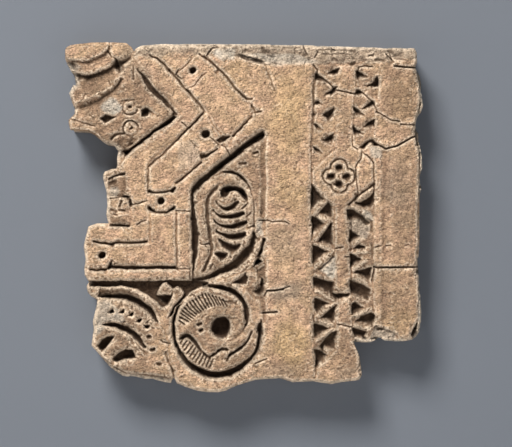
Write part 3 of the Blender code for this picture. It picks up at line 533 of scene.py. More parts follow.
def carve_scroll(relief):
    """The scroll: a dished disc with a round rim, combed fields, a drilled eye and a winding ring."""
    disc = curve([(175.3, 332.6), (175.3, 321.9), (177.2, 312.7), (180.2, 305.1), (185.6, 298.2),
                  (193.2, 292.1), (201.7, 288.8), (210.8, 287.9), (221.6, 289.8), (231.5, 294.4),
                  (239.2, 299.7), (244.5, 306.6), (247, 314.3), (250, 322), (257, 326), (259, 337.2),
                  (256, 347.2), (252.2, 354.8), (245.3, 361.7), (236.9, 367), (227.7, 370.1),
                  (217.7, 370.9), (207.8, 369.7), (198.6, 367), (191, 362.5), (184.8, 357.1),
                  (179.5, 349.5), (176.4, 341.8), (175.3, 332.6)])
    relief.level(disc, depth=3.0 * MM, feather=0.6)
    relief.lower(disc, depth=1.4 * MM, feather=5)
    disc_rim = [(178.4, 341), (177.4, 330), (178, 319), (181, 309), (186.6, 301), (194, 295), (203, 291.4),
                (212, 290.4), (222, 292.4), (231, 296.8), (238, 302.6)]
    relief.band(curve(disc_rim), width=5.4, crown=1.6 * MM, foot=5.4 * MM)
    # the stem that comes round the right side, dives under the disc and runs on below the eye
    stem = [(212.4, 283.6), (222, 281), (231.5, 284), (241, 288.4), (248.6, 295), (254, 304), (255.8, 314),
            (254.6, 323), (250, 331), (243, 338), (234, 343), (224, 344.6), (215, 343.4)]
    relief.band(curve(stem), width=8.4, crown=0.8 * MM, foot=4.4 * MM)
    stem_channel_upper = [(203, 284), (213.9, 283.7), (223.1, 284.4), (233, 288.2), (241.5, 295.1),
                          (246.8, 302.8), (250.3, 312), (249.9, 318.8), (246.8, 326.5), (242.2, 333.4),
                          (236.9, 339.2), (232, 341.8), (226.6, 341.6)]
    stem_channel_lower = [(201.7, 288.8), (210.8, 287.9), (221.6, 289.8), (231.5, 294.4), (239.2, 299.7),
                          (243.6, 306.6), (244, 314.3), (242, 323.4), (238.4, 331.1), (233.6, 336.4),
                          (228.4, 339.6), (226.6, 340.6)]
    relief.valley(curve(stem_channel_upper), curve(stem_channel_lower), depth=14 * MM, deepest=0.45,
                  stain_and_shade=0.45)
    left_ring_upper = [(185, 297), (177.6, 305.4), (173.8, 314.3), (172, 325), (171.6, 333), (172.4, 341),
                       (174.6, 348)]
    left_ring_lower = [(187, 298), (180.6, 306), (177.6, 314), (175.4, 322), (175.2, 332.6), (176, 341),
                       (178, 347)]
    relief.valley(curve(left_ring_upper), curve(left_ring_lower), depth=11 * MM, deepest=0.35)
    foot_ring_upper = [(176.4, 341.8), (179.5, 349.5), (184.8, 357.1), (191, 362.5), (198.6, 367),
                        (207.8, 369.9), (217.7, 371.1), (227.7, 370.3), (236.9, 367.2), (245.3, 361.9),
                        (252.2, 355), (256, 347.4), (258.6, 337.2), (260, 325.7)]
    foot_ring_lower = [(172.6, 343), (176.4, 353.3), (181, 360.9), (186.4, 367), (193.2, 373.2),
                        (200.9, 377), (209.3, 379.5), (218.5, 380), (227.7, 378.4), (236.9, 374.4),
                        (245.3, 369), (252.2, 363.4), (257.5, 357.3), (261.3, 349.5), (263.4, 341),
                        (263.2, 327)]
    relief.valley(curve(foot_ring_upper), curve(foot_ring_lower), depth=11.5 * MM, deepest=0.4, stain_and_shade=0.2)
    outer_ring_upper = [(248, 287), (255.4, 294), (260, 304), (262.2, 314), (262.4, 323)]
    outer_ring_lower = [(258, 282), (264, 294), (267.4, 308), (267.4, 323)]
    relief.valley(curve(outer_ring_upper), curve(outer_ring_lower), depth=5 * MM, deepest=0.45, stain_and_shade=0.3)
    # the body that sweeps over the eye
    body = [(181, 330.6), (189, 326.6), (198, 320.6), (207, 314.6), (218, 311.6), (230, 311.4),
            (238, 314.6), (240.6, 322), (237.6, 330), (231, 335.6)]
    relief.band(curve(body), width=12, crown=1.8 * MM, foot=3.8 * MM)
    body_end = [(202, 335), (206, 342), (213, 347), (222, 347.6)]
    relief.band(curve(body_end), width=8, crown=1.8 * MM, foot=4 * MM)
    eye = [(211.2, 329), (212.6, 322.6), (217, 318.6), (224.6, 317.2), (229, 320.6), (230.4, 327),
           (229, 333), (226.4, 337), (221, 339), (215, 336.6), (211.2, 329)]
    relief.pit(curve(eye), depth=26 * MM, wall=1.2, wider=1.2, stain_and_shade=0.5)
    eye_reach = [(211, 317), (232, 317), (232, 340), (211, 340)]
    ease_walls(relief, eye_reach, steepest=4.0)
    comb_edge = [(190.5, 322.6), (197, 317.4), (205, 311.4), (214, 308), (226, 307.6), (238, 307.4)]
    relief.groove(curve(comb_edge), width=2.2, depth=1.6 * MM, wander=0.3, stain_and_shade=0.3)
    for number, (outer, inner) in enumerate(COMB_ABOVE):
        relief.groove([outer, inner], width=2.2, depth=5.4 * MM, wander=0.3, seed=number, stain_and_shade=0.85)
    inner_hook_upper = [(178.4, 338.4), (181, 334.6), (186.6, 332.6), (192.6, 335.8), (197.4, 342.2),
                        (201.2, 349), (205.6, 353.6)]
    inner_hook_lower = [(179.6, 340.4), (186.2, 338), (191.4, 341.6), (196, 347.8), (200.4, 353.6),
                        (205.6, 355.6)]
    relief.valley(curve(inner_hook_upper), curve(inner_hook_lower), depth=10 * MM, deepest=0.5, stain_and_shade=0.6)
    for number, (inner, outer) in enumerate(COMB_BELOW):
        relief.groove([inner, outer], width=2.0, depth=4.2 * MM, wander=0.3, seed=number + 40, stain_and_shade=0.9)
    scroll_cuts = [
        ([(203.6, 354.6), (209, 357.6), (213.6, 355)], 3.6, 6),
        ([(213, 356.4), (217.6, 352.4), (220.6, 350.4)], 2.6, 5),
        ([(222.4, 349.6), (226.6, 349.8)], 4.6, 7), ([(218, 351.4), (219, 350.6)], 3.4, 6),
        (curve([(251.8, 331.6), (248, 341), (241.5, 347.4), (235.3, 351.8), (229.2, 355.8)]), 2.8, 6),
        ([(241, 348), (234, 352.6), (229, 356.4), (226.8, 360.6)], 3.6, 5),
        ([(197.4, 324.6), (200.6, 323.8)], 4.0, 7), ([(199.6, 330.8), (201.6, 329.4)], 4.0, 7),
        ([(228.4, 318.5), (237.6, 318.1)], 1.5, 2.4), ([(254, 366), (258, 367.6)], 3.0, 4),
        ([(202, 317.6), (206, 314.6)], 2.4, 2.6), ([(229, 301), (236, 304)], 3.0, 2.4),
        ([(222, 300), (228, 303)], 2.6, 2.8), ([(261.4, 320), (262.4, 334)], 3.2, 5),
    ]
    for path, width, depth in scroll_cuts:
        relief.groove(path, width, depth * MM, wander=0.5, stain_and_shade=0.7)
    # the outer round ridge under the scroll
    lower_ridge = [(171, 354), (177, 364.6), (184, 372), (194.8, 379.6), (206.3, 383.6), (217.7, 384.8),
                   (229.2, 383), (240.7, 378), (252.2, 371), (262, 362)]
    relief.band(curve(lower_ridge), width=8, crown=1.6 * MM, foot=6 * MM)


def carve_fan(relief):
    """The broken fan: arcs with a bright crest that lean into deep grooves, a row of teeth, two scoops."""
    wide_arc_upper = [(100, 287), (120, 288), (134, 291), (146, 299), (156, 310), (160, 320)]
    wide_arc_lower = [(97, 298), (108, 298.5), (120, 300), (131, 303), (142, 309), (151, 317), (157, 326)]
    relief.valley(curve(wide_arc_upper), curve(wide_arc_lower), depth=13 * MM, deepest=0.82)
    narrow_arc_upper = [(97, 320), (110, 320.5), (122, 323), (134, 331), (144, 343), (149, 353)]
    narrow_arc_lower = [(97, 325.5), (108, 326.5), (118, 330.5), (128, 336.5), (137, 344), (144, 355)]
    relief.valley(curve(narrow_arc_upper), curve(narrow_arc_lower), depth=6.5 * MM, deepest=0.82)
    arc_nicks = [
        [(121, 301.6), (121.6, 306)], [(132, 304.6), (132, 309)], [(143, 311), (142, 316)],
        [(150, 319), (147, 323)], [(112, 300.4), (112.4, 304)],
    ]
    for path in arc_nicks:
        relief.groove(path, width=2.0, depth=3 * MM, wander=0.3, stain_and_shade=0.6)
    teeth = [(110, 310), (121, 311), (130.5, 314), (139, 320.5), (146.5, 327)]
    for x, y in teeth:
        tooth = [(x - 4, y + 2.5), (x + 1, y - 3), (x + 4, y - 1.5), (x + 2, y + 3)]
        relief.pit(tooth, depth=7 * MM, wall=1.5)
    drilled_dots = [(149, 337), (152.5, 350), (159, 364.5)]
    for x, y in drilled_dots:
        dot = [(x - 0.8, y), (x + 0.8, y)]
        relief.groove(dot, width=4.6, depth=6 * MM, wander=0.4, stain_and_shade=0.7)
    left_scoop_upper = [(97, 346), (101, 339), (108, 335.5), (116, 335.5)]
    left_scoop_lower = [(99, 352), (107, 351), (112, 344), (118, 338)]
    relief.valley(left_scoop_upper, left_scoop_lower, depth=6 * MM, deepest=0.45)
    right_scoop_upper = [(112, 357), (119, 352), (127, 348.5), (135, 350.5), (138, 357)]
    right_scoop_lower = [(113, 363), (120, 361), (128, 359.5), (138, 360)]
    relief.valley(curve(right_scoop_upper), curve(right_scoop_lower), depth=7.5 * MM, deepest=0.6)
    broken_foot = [(100, 362), (126, 364), (170, 370), (176, 372), (176, 392), (96, 380)]
    relief.lean(broken_foot, start=(138, 366), end=(136, 382), depth=6 * MM)
    fan_edge = [(152, 304), (158, 312), (164, 326), (168, 342), (170, 356), (172, 372)]
    relief.groove(fan_edge, width=3.0, depth=3 * MM, wander=0.8)


def carve_wing(relief):
    """The wing at the corner: plates that overlap like tiles, each with its lip proud of the next."""
    whole = [(60, 38), (134, 38), (134, 64), (147, 88), (173, 112), (166, 121), (128, 150), (112, 150),
             (60, 134)]
    relief.level(whole, depth=2.6 * MM, feather=0.5)
    first_lip = curve([(60, 59.4), (66, 59.4), (79.4, 61.2), (88, 60), (97.3, 56.5), (103.6, 52.8),
                       (108.6, 48), (109, 38)])
    second_lip = curve([(60, 72), (76, 73), (82.6, 75), (91.1, 74.2), (100.5, 70.9), (108.2, 67.6),
                        (114, 63), (116, 57)])
    third_lip = curve([(60, 104), (73.2, 103.3), (84.9, 99.7), (98.9, 94.8), (109.8, 88.6), (117.6, 81.6),
                       (121.5, 76.1)])
    foot_lip = curve([(60, 111), (75.6, 108.4), (87.2, 105.2), (95, 101.3), (102, 96.9), (110.6, 91.4),
                      (116, 86.4), (121.6, 77)])
    top_edge = [(60, 36), (109, 36)]
    relief.plate(top_edge, first_lip, top=1.6 * MM, lip=0.2 * MM)
    relief.plate(first_lip, second_lip, top=8 * MM, lip=1.2 * MM)
    relief.plate(second_lip, third_lip, top=15 * MM, lip=1.6 * MM)
    relief.plate(third_lip, foot_lip, top=1.8 * MM, lip=9.5 * MM)
    tile_top = [(60, 119), (78, 118), (96, 115), (108, 105), (120, 90), (126, 80)]
    relief.plate(foot_lip, tile_top, top=11 * MM, lip=2.8 * MM)
    wing_end = [(109.4, 38), (134, 38), (134, 52), (124, 56), (117, 57.5), (113, 60), (110, 54)]
    relief.level(wing_end, depth=1.6 * MM, feather=0.5)
    wing_hollow = [(113, 64), (114, 60), (117, 57.6), (125, 56.4), (133, 53.5), (133, 59.5), (128.5, 62.3),
                   (122.5, 67), (120, 72), (114.5, 68.6)]
    relief.pit(wing_hollow, depth=10 * MM, wall=5)
    hollow_nick = [(119.6, 70.6), (122, 68)]
    relief.groove(hollow_nick, width=5, depth=4 * MM, wander=0.3, stain_and_shade=0.5)
    upper_break = [(64, 60), (72, 62), (77, 65), (82.4, 74), (82, 77), (75, 83), (70, 80), (64, 66)]
    relief.lean(upper_break, start=(82, 68), end=(68, 70), depth=8 * MM, feather=0.8)
    lower_break = [(64, 84), (74, 84), (80, 96), (75, 104), (64, 110)]
    relief.lean(lower_break, start=(79, 92), end=(69, 95), depth=5 * MM)
    left_socket = [(99.4, 118.1), (105.1, 113.8), (110, 115), (116.4, 116.8), (109.8, 119.8),
                   (105.1, 123.2)]
    relief.pit(left_socket, depth=10 * MM, wall=1.4, wider=0.6, stain_and_shade=0.6)
    right_socket = [(140.6, 117.6), (140.6, 108.5), (144, 106), (149, 106.4), (152, 110.3), (158, 115.2),
                    (149.5, 116.6)]
    relief.pit(right_socket, depth=12 * MM, wall=3)
    socket_reach = [(139, 105), (159, 105), (159, 118), (139, 118)]
    ease_walls(relief, socket_reach, steepest=0.9)
    socket_hole = [(141, 116.4), (141, 109), (145, 107), (148.6, 110), (148, 115.6)]
    relief.pit(socket_hole, depth=6 * MM, wall=1.5, wider=0.5, stain_and_shade=0.95)
    hollow_slope = [(112, 57), (133, 53.5), (133, 60), (122, 67), (114, 68)]
    relief.lean(hollow_slope, start=(122, 57), end=(120, 66), depth=2 * MM)
    upper_ring, lower_ring = (129.8, 107.3), (130.4, 128.2)
    relief.band(arc_of(upper_ring, (5.0, 4.8), 0, 360), width=4.2, crown=0.6 * MM, foot=4.2 * MM)
    relief.groove(arc_of(upper_ring, (7.7, 7.5), 20, 130), width=2.0, depth=3.6 * MM, wander=0.3, stain_and_shade=0.8)
    relief.groove(arc_of(upper_ring, (7.7, 7.5), 150, 250), width=1.6, depth=2.0 * MM, wander=0.3,
                  stain_and_shade=0.5)
    upper_ring_eye = [(129.6, 106.8), (130.4, 106.6)]
    relief.groove(upper_ring_eye, width=4.2, depth=6 * MM, stain_and_shade=0.8)
    relief.band(arc_of(lower_ring, (4.9, 4.9), 0, 360), width=4.4, crown=0.6 * MM, foot=4.0 * MM)
    relief.groove(arc_of(lower_ring, (7.6, 7.6), 165, 345), width=2.2, depth=4.0 * MM, wander=0.3,
                  stain_and_shade=0.9)
    relief.groove(arc_of(lower_ring, (7.5, 7.5), -10, 160), width=1.4, depth=2.0 * MM, wander=0.3,
                  stain_and_shade=0.4)
    lower_ring_eye = [(130.8, 128.2), (131.6, 127.4)]
    relief.groove(lower_ring_eye, width=3.2, depth=5 * MM, stain_and_shade=0.8)
    wing_cuts = [
        ([(121.5, 101), (127.5, 100), (134, 99)], 1.8, 2.6), ([(133, 66), (133.4, 79)], 2.4, 3.0),
        ([(108, 81), (110.4, 84.6)], 1.8, 2.4), ([(107.4, 51), (111.6, 56.4)], 2.0, 3.0),
        ([(87, 57), (93, 58.4)], 1.8, 2.0), ([(83, 98), (85, 94), (89, 96)], 2.0, 2.4),
        ([(136.5, 106.6), (141, 107)], 1.8, 2.4), ([(90.5, 115.6), (94, 118)], 1.8, 2.4),
        ([(110.4, 138.6), (116, 134), (123.8, 133)], 3.4, 4.5),
        ([(71, 118.9), (83.3, 122.8), (95, 126)], 2.0, 3.0),
    ]
    for path, width, depth in wing_cuts:
        relief.groove(path, width, depth * MM, wander=0.5, stain_and_shade=0.7)
    wing_foot = [(64, 128), (96, 128), (108, 135), (124, 133), (137, 139), (120, 156), (98, 148), (64, 136)]
    relief.lean(wing_foot, start=(112, 130), end=(112, 148), depth=9 * MM)


STRIP = [(313, 63), (379, 63), (377, 100), (373, 112), (374, 182), (373.5, 338), (354, 341), (353, 352),
         (340, 366), (316, 372), (314, 300), (312, 184), (313, 150)]
STRIP_PITS = [
    # left of the post, downwards
    [(327.7, 73.3), (333.4, 70.5), (339.7, 67.7), (337.6, 73.3), (334.1, 75.1)],
    [(315.5, 73), (318, 74), (324, 78.5), (330.5, 84), (323, 80.5), (316, 80)],
    [(325.6, 94), (332, 90.2), (334.1, 87.5), (338, 86.7), (336.9, 90.2), (333.4, 93.2), (330.9, 95.5)],
    [(315.1, 104), (316, 101.5), (319.3, 101.8), (322.8, 105)],
    [(322.8, 116.1), (326.3, 112.6), (335.5, 107.7), (334.8, 111.2), (331.3, 118.2), (328.4, 121),
     (326.3, 118.2)],
    [(314.6, 124.4), (317, 124.8), (322.5, 129.7), (318, 128.8)],
    [(323.5, 140.7), (329.1, 137.2), (335.3, 133.5), (334.3, 137.2), (331.8, 142.3), (329.1, 143)],
    [(314, 147), (317.9, 149.5), (321.6, 153.5), (316.5, 152.3)],
    [(311.7, 185.5), (317, 190), (324.6, 199), (317.5, 203.5), (312.1, 207.5)],
    [(328.2, 202.9), (332.2, 204.5), (331.6, 216.5), (325.1, 216), (318.6, 214.6)],
    [(312.5, 216.3), (317.5, 218.6), (324.8, 225.1), (318.3, 228.4), (312.7, 232)],
    [(331.8, 223), (332.8, 245.6), (325.9, 243.9), (318.6, 241.4)],
    [(313.7, 246.2), (319.8, 248.5), (328.8, 252.7), (321.3, 258), (313.7, 264)],
    [(313.7, 277.6), (324, 280.8), (334.5, 283), (334.3, 293.5), (327, 295), (322, 290.5), (314.5, 288)],
    [(315, 299), (325, 302.6), (330.4, 305.5), (322, 310), (318, 313.5), (315.2, 309)],
    [(337.3, 305.6), (336.2, 318), (331, 323.4), (326, 321.4), (320.6, 319.7), (327, 313.6)],
    [(314.6, 324.6), (322, 326.6), (330.6, 330.5), (326, 333), (320, 337.4), (315, 337.6)],
    [(337.3, 331.5), (336.8, 345), (334, 348.8), (328, 349.4), (324, 347.3), (323.7, 354), (321.3, 350),
     (319.3, 347), (325, 340.6), (331, 334.6)],
    [(314.5, 350.5), (320, 351.3), (323, 354.6), (328.6, 356.3), (324, 361), (319, 364.8), (316.5, 367),
     (317, 360), (315, 354)],
    # under the post's foot
    [(330, 294), (350, 294), (347, 298.3), (342, 300.6), (337, 301.4), (331, 297.5)],
    # right of the post, downwards
    [(356.9, 70.5), (359.3, 71.4), (363.5, 72.8), (368.6, 77.4), (361.4, 75.8), (358, 79)],
    [(366, 86), (371.9, 83.7), (376.2, 80.1), (377.9, 76.4), (379, 80.3), (378.3, 85), (371.9, 87.4)],
    [(355.3, 94), (357.7, 88.9), (364.5, 92.8), (357.9, 95)],
    [(363, 109), (369.1, 104), (373.3, 100.8), (374.4, 103.7), (369.1, 107.5)],
    [(353, 107.6), (356.5, 108.6), (363.8, 114.8), (356.5, 114.6)],
    [(364.4, 126.9), (369.1, 122.8), (374.2, 119.7), (374.2, 125.6), (369.1, 127)],
    [(353.7, 126), (357.9, 130.8), (363.9, 133.1), (355.1, 134.8)],
    [(373.6, 193.5), (373.6, 202.4), (369.6, 208.5), (362.7, 208.6), (356.3, 203.2), (361, 202.8),
     (367.3, 199.6)],
    [(347.7, 210.2), (355, 210.9), (361.1, 214.8), (369.9, 223.6), (367, 225), (360, 221.5), (355, 220),
     (348.1, 220)],
    [(349.4, 230.6), (355, 234.6), (360, 237.4), (355, 240.6), (349.5, 243.3)],
    [(353.8, 249.8), (359.6, 245.4), (365.3, 247.1), (364.2, 250), (358.8, 251.3)],
    [(351, 254.4), (358.1, 257.5), (363.2, 261.1), (358.1, 263.8), (351.8, 267.9)],
    [(371.5, 267.6), (370.7, 277.4), (366.5, 280.9), (359.6, 276.1), (354.6, 272.7), (364.2, 271)],
    [(350.3, 280.6), (358.1, 283), (364, 285.8), (370.4, 290), (368.5, 300), (361, 298), (352, 294.3)],
    [(352.6, 303.6), (356.3, 303.2), (360, 306.5), (365, 310), (358, 313.3), (351.8, 315.6)],
    [(371, 313.6), (374.3, 316), (374.3, 320), (372.2, 327.4), (366, 326.4), (360, 325.3), (355.5, 321.6),
     (362, 317)],
    [(352.8, 328.5), (360, 330.6), (367.4, 333), (364.5, 336.3), (367, 340.3), (361, 338.4), (355, 336)],
]
STRIP_BARS = [
    [(312.8, 215.4), (326.7, 201.2)], [(314.4, 216), (331.5, 221.4)], [(313.4, 242), (331, 221.5)],
    [(314, 243.8), (333.6, 251)], [(314, 268.3), (332, 252)], [(315, 275), (333.5, 280)],
    [(315, 290.5), (322, 293.5), (330, 298), (340, 302)], [(316, 318), (336, 303.5)],
    [(316, 320), (332, 326.5)], [(316, 341.5), (334.5, 330)], [(357.6, 201), (372.4, 188.6)],
    [(352.5, 206.8), (364.2, 212.9)], [(351.2, 246.4), (363.4, 238.9)], [(351.9, 252.6), (366.5, 252.6)],
    [(353, 270.3), (366, 261)], [(351.2, 275.6), (366, 283.4)], [(352.5, 316.8), (370, 309.6)],
    [(354, 325.4), (370, 329.6)],
]
ROUNDEL = (339.3, 176.4)


RIGHT_BULGES = [
    [(412, 72), (418, 73), (420.4, 84), (421.4, 100), (419, 112), (416.6, 118), (412, 118)],
    [(412, 142), (419, 146), (420.2, 160), (420.4, 200), (420, 256), (412, 262)],
    [(412, 272), (419, 274), (419.6, 300), (418.6, 322), (412, 330)],
]
PALE_RIMS = [
    [(422.2, 94), (423.0, 103), (421.4, 112)], [(421.4, 144), (422.4, 158), (422.2, 170), (421.4, 180)],
    [(421.6, 190), (422.4, 200), (421.6, 212)], [(420.6, 296), (420.4, 316), (418.4, 332)],
    [(358, 340.4), (368, 341.6), (378, 340)], [(382, 341), (392, 342.4), (402, 340.4)],
]


def pad_right_edge(relief):
    """The face swells out to the right edge, and the pale backing shows beyond it as a thin rim."""
    for outline in RIGHT_BULGES:
        area, spots = relief.window(outline, 1.5)
        share = ramp(within(spots, outline), -1.4, 1.2)
        relief.depth[area] += (0.8 * MM - relief.depth[area]) * share
    for path in PALE_RIMS:
        relief.band(path, width=3.2, crown=4.0 * MM, foot=7 * MM)


def carve_strip(relief):
    """The zigzag strip: a post with its roundel, and thin bars between sloping holes."""
    relief.level(STRIP, depth=3.0 * MM, feather=0.8)
    lower_ground = [(312, 186), (374, 186), (374, 341), (354, 341), (353, 368), (313, 368)]
    relief.lower(lower_ground, depth=2.4 * MM, feather=3)
    post = [(338, 92), (355, 94.5), (354.4, 140), (362, 150), (374.4, 164), (374, 182), (350, 203),
            (348, 207), (350.8, 254), (350.6, 293), (335, 293), (335.4, 207), (328, 202), (312.5, 184),
            (312.5, 168), (335.6, 150)]
    relief.level(post, depth=0.2 * MM, feather=0.7)
    post_foot = [(336.8, 300), (350, 300), (353, 342), (354, 364), (318, 372), (319, 366), (330, 356),
                 (336.6, 350)]
    relief.level(post_foot, depth=0.4 * MM, feather=0.7)
    post_head = [(338, 65), (357, 66), (355.5, 93), (338, 90)]
    relief.level(post_head, depth=1.2 * MM, feather=0.7)
    for path in STRIP_BARS:
        relief.band(path, width=5.0, crown=1.6 * MM, foot=5.0 * MM)
    for outline in STRIP_PITS:
        relief.pit(outline, depth=13 * MM, wall=0.3, wider=1.15)
    strip_cuts = [
        ([(315.2, 76), (314, 95), (313, 120), (311.4, 150)], 3.2, 2.6),
        ([(311.6, 150), (311.8, 185)], 1.8, 2.6), ([(380.4, 69), (378.4, 86), (376.6, 98)], 2.2, 2.8),
        ([(373.8, 163), (373.8, 205)], 2.0, 3.0), ([(372, 221), (371.2, 232)], 2.4, 3.4),
        ([(374.6, 269), (372.4, 283)], 2.2, 3.6),
        ([(354.4, 95), (354, 112), (353.9, 128), (352.4, 141)], 2.2, 3.4),
        ([(356.6, 72), (355.8, 86)], 1.8, 2.8), ([(336.8, 94), (336.2, 120), (336, 148)], 1.6, -1.4),
        ([(337, 302), (336.8, 346)], 1.6, -1.0), ([(336.4, 209), (336.2, 250), (336.2, 290)], 1.6, -1.0),
        ([(351.6, 208), (351.8, 290)], 2.0, 2.4), ([(373.6, 183), (356, 197.4), (348.6, 204.8)], 3.2, 4.5),
        ([(356.4, 194), (357, 202)], 4.0, 5.0), ([(320, 269.6), (334.6, 256.4)], 2.2, 5.0),
        ([(311.8, 171), (320, 162.4), (332, 151)], 1.8, 2.6), ([(315.6, 366), (315, 379)], 2.4, 3.0),
        ([(313.2, 316), (314.6, 322)], 3.0, 4.0), ([(372, 245), (372.8, 258)], 2.2, 3.0),
        ([(378, 330), (384, 328)], 3.2, 4.0),
    ]
    for path, width, depth in strip_cuts:
        relief.groove(path, width, depth * MM, wander=0.4, stain_and_shade=0.3)
    mended_break_upper = [(357.5, 148), (363, 143), (369, 138.9), (373.5, 138.9), (381.3, 145.3)]
    mended_break_lower = [(359, 149.4), (363, 150), (366.3, 147.7), (369.5, 144), (376, 144.8),
                          (381.3, 146)]
    relief.valley(mended_break_upper, mended_break_lower, depth=9 * MM, deepest=0.4)
    # the roundel's four lobes, ringed by one groove, each with its hole: the hole's place from the
    # roundel's middle, its width, its lobe's radius, and where its tail points
    holes = [((0, -8.6), 5.6, 6.4, (0.0, 0.0)), ((8.0, 0.4), 5.2, 6.0, (-2.2, 0.5)),
             ((0.3, 8.4), 5.4, 6.2, (0.2, -2.4)), ((-7.8, 0.2), 5.2, 6.0, (2.2, 0.3))]
    roundel_corners = [(318, 154), (360, 197)]
    area, spots = relief.window(roundel_corners, 2)
    lobes = np.full(spots.shape[:-1], 1e9)
    for (dx, dy), _, radius, _ in holes:
        away = np.hypot(spots[..., 0] - ROUNDEL[0] - dx, spots[..., 1] - ROUNDEL[1] - dy)
        lobes = np.minimum(lobes, away - radius - 2.2)
    relief.depth[area] += 6 * MM * clamp(1 - (lobes / 1.4) ** 2)
    relief.stain_and_shade[area] = np.maximum(relief.stain_and_shade[area], 0.7 * clamp(1 - (lobes / 1.4) ** 2))
    for (dx, dy), width, _, (tail_x, tail_y) in holes:
        spot = (ROUNDEL[0] + dx, ROUNDEL[1] + dy)
        hole = [spot, (spot[0] + tail_x * 0.3, spot[1] + tail_y * 0.3)]
        relief.groove(hole, width * 1.65, depth=16 * MM, wander=0.2, stain_and_shade=1.0)
        tail = [spot, (spot[0] + tail_x, spot[1] + tail_y)]
        relief.groove(tail, width * 0.5, depth=6 * MM, wander=0.2, stain_and_shade=0.7)
    strip_reach = [(311, 62), (375, 62), (375, 372), (311, 372)]
    ease_walls(relief, strip_reach, steepest=1.5)
    # the border's flank beside the strip, and soft lines along the upright
    upright_flank_upper = [(309.5, 62), (309.5, 130), (310.5, 200), (311, 300), (313, 372)]
    upright_flank_lower = [(316, 62), (315, 130), (313, 200), (315, 300), (317, 372)]
    relief.valley(curve(upright_flank_upper), curve(upright_flank_lower), depth=1.6 * MM, deepest=0.4)
    border_hollow_upper = [(380.4, 150), (380.4, 240), (381, 326)]
    border_hollow_lower = [(391, 152), (391, 240), (391.6, 326)]
    relief.valley(border_hollow_upper, border_hollow_lower, depth=2.4 * MM, deepest=0.6)
    border_moulding = [(373, 150), (381, 150), (381, 326), (373, 330)]
    relief.lean(border_moulding, start=(380.5, 240), end=(374, 240), depth=1.8 * MM, feather=0.6)
    border_valley = [(384, 154), (383.4, 200), (383.6, 240), (384, 264)]
    relief.groove(border_valley, width=6.5, depth=1.2 * MM, wander=0.8, stain_and_shade=0.2)
    border_valley_foot = [(383, 274), (382.6, 300), (383, 322)]
    relief.groove(border_valley_foot, width=5.5, depth=1.0 * MM, wander=0.8, stain_and_shade=0.14)
    corner_slope = [(255, 250), (268, 250), (267, 296), (258, 292)]
    relief.lean(corner_slope, start=(267, 270), end=(259, 270), depth=3 * MM, feather=0.8)


def ease_walls(relief, outline, steepest):
    """Hollows rise gently on their lower and right sides: no wall there is steeper than the given slope."""
    area, _ = relief.window(outline, 0)
    part = relief.depth[area]
    rise = steepest * PITCH
    for row in range(part.shape[0] - 2, -1, -1):
        part[row] = np.minimum(part[row], part[row + 1] + rise)
    for column in range(part.shape[1] - 2, -1, -1):
        part[:, column] = np.minimum(part[:, column], part[:, column + 1] + rise * 1.6)


CRACKS = [
    # on the straps and bosses
    [(182, 122), (187, 126)], [(130, 204), (138, 204), (142, 202), (147, 201)],
    [(109, 178), (114, 176), (123, 173)],
    [(137, 225), (141, 222), (146, 220.5)], [(210, 137), (215, 141), (219, 145)],
    [(222, 145), (225, 147), (228, 151), (230, 155)], [(176, 211), (190, 211)], [(177, 269), (189, 269)],
    [(190, 268), (190, 279.5)], [(200, 243), (202, 244.5), (210, 244)], [(182, 79), (176, 74), (178, 70)],
    # across the top and the pilaster
    [(207, 55), (211, 49)], [(303, 44), (305, 50), (307, 54)], [(318, 52), (315, 57)],
    [(386, 53), (394, 62)],
    [(259, 220.5), (267, 220), (272, 221.5), (285, 221.5), (289, 223.5)],
    [(264, 296), (267, 291), (275, 291), (285, 288), (290, 286.5)], [(268, 312), (277, 312)],
    [(267, 359), (255, 364)],
    # in the zigzag strip
    [(337, 90.2), (345.3, 91.6), (355, 93.7)], [(336, 248.5), (343, 247)], [(345, 257), (350, 257)],
    [(337, 324), (352, 327)], [(313.2, 64.5), (317.6, 69.8), (317.2, 74)], [(329, 82.5), (334, 88)],
    [(358, 71), (359, 66.5), (366, 66), (373, 66.5)],
    [(364, 93), (369, 98), (373.3, 102), (376.2, 109), (378, 113)],
    [(362.1, 150.5), (361.4, 158.2), (357.9, 162.4), (355.8, 167.3), (356.8, 180), (358, 196)],
    [(352, 140.5), (352.6, 146), (358, 149.5)], [(363, 152), (370, 158), (373.6, 163)],
    # across the border
    [(395, 66), (405, 67), (417, 67.5)], [(376, 112), (381, 114), (391, 119.5), (400, 121.5)],
    [(401, 124.5), (415, 124.5)], [(381, 146), (386, 149), (398, 145.5), (411, 138), (416, 136)],
    [(375, 247), (381, 246)], [(386, 246), (391, 245)],
    [(374, 267), (378, 268.5), (398, 267), (418, 267)], [(374.5, 269), (372, 281)],
    # on the wing and the fan
    [(161, 340), (163, 342), (170, 343.5)],
]
OPEN_CRACKS = [
    [(267, 291), (275, 290.4), (283, 289.6)],
    [(381, 146), (386, 149), (398, 145.5), (411, 138), (416, 136)], [(374, 267), (390, 267.6), (418, 267)],
    [(395, 66), (405, 67), (417, 67.5)], [(263, 313), (277, 312)],
]


def crack(relief):
    """Fine cracks where the fragment was broken and mended, some of them open."""
    for number, path in enumerate(CRACKS):
        relief.groove(path, width=1.9, depth=2.6 * MM, wander=0.55, seed=number, stain_and_shade=0.85)
    for number, path in enumerate(OPEN_CRACKS):
        relief.groove(path, width=2.6, depth=3.5 * MM, wander=0.4, seed=number + 60, stain_and_shade=1.0)


CHIPPED_FROM, CHIPPED_TO = (66, 44), (420, 390)
CHIPS_ON_FACE = 1400
CHIPS_ON_ARRISES = 900


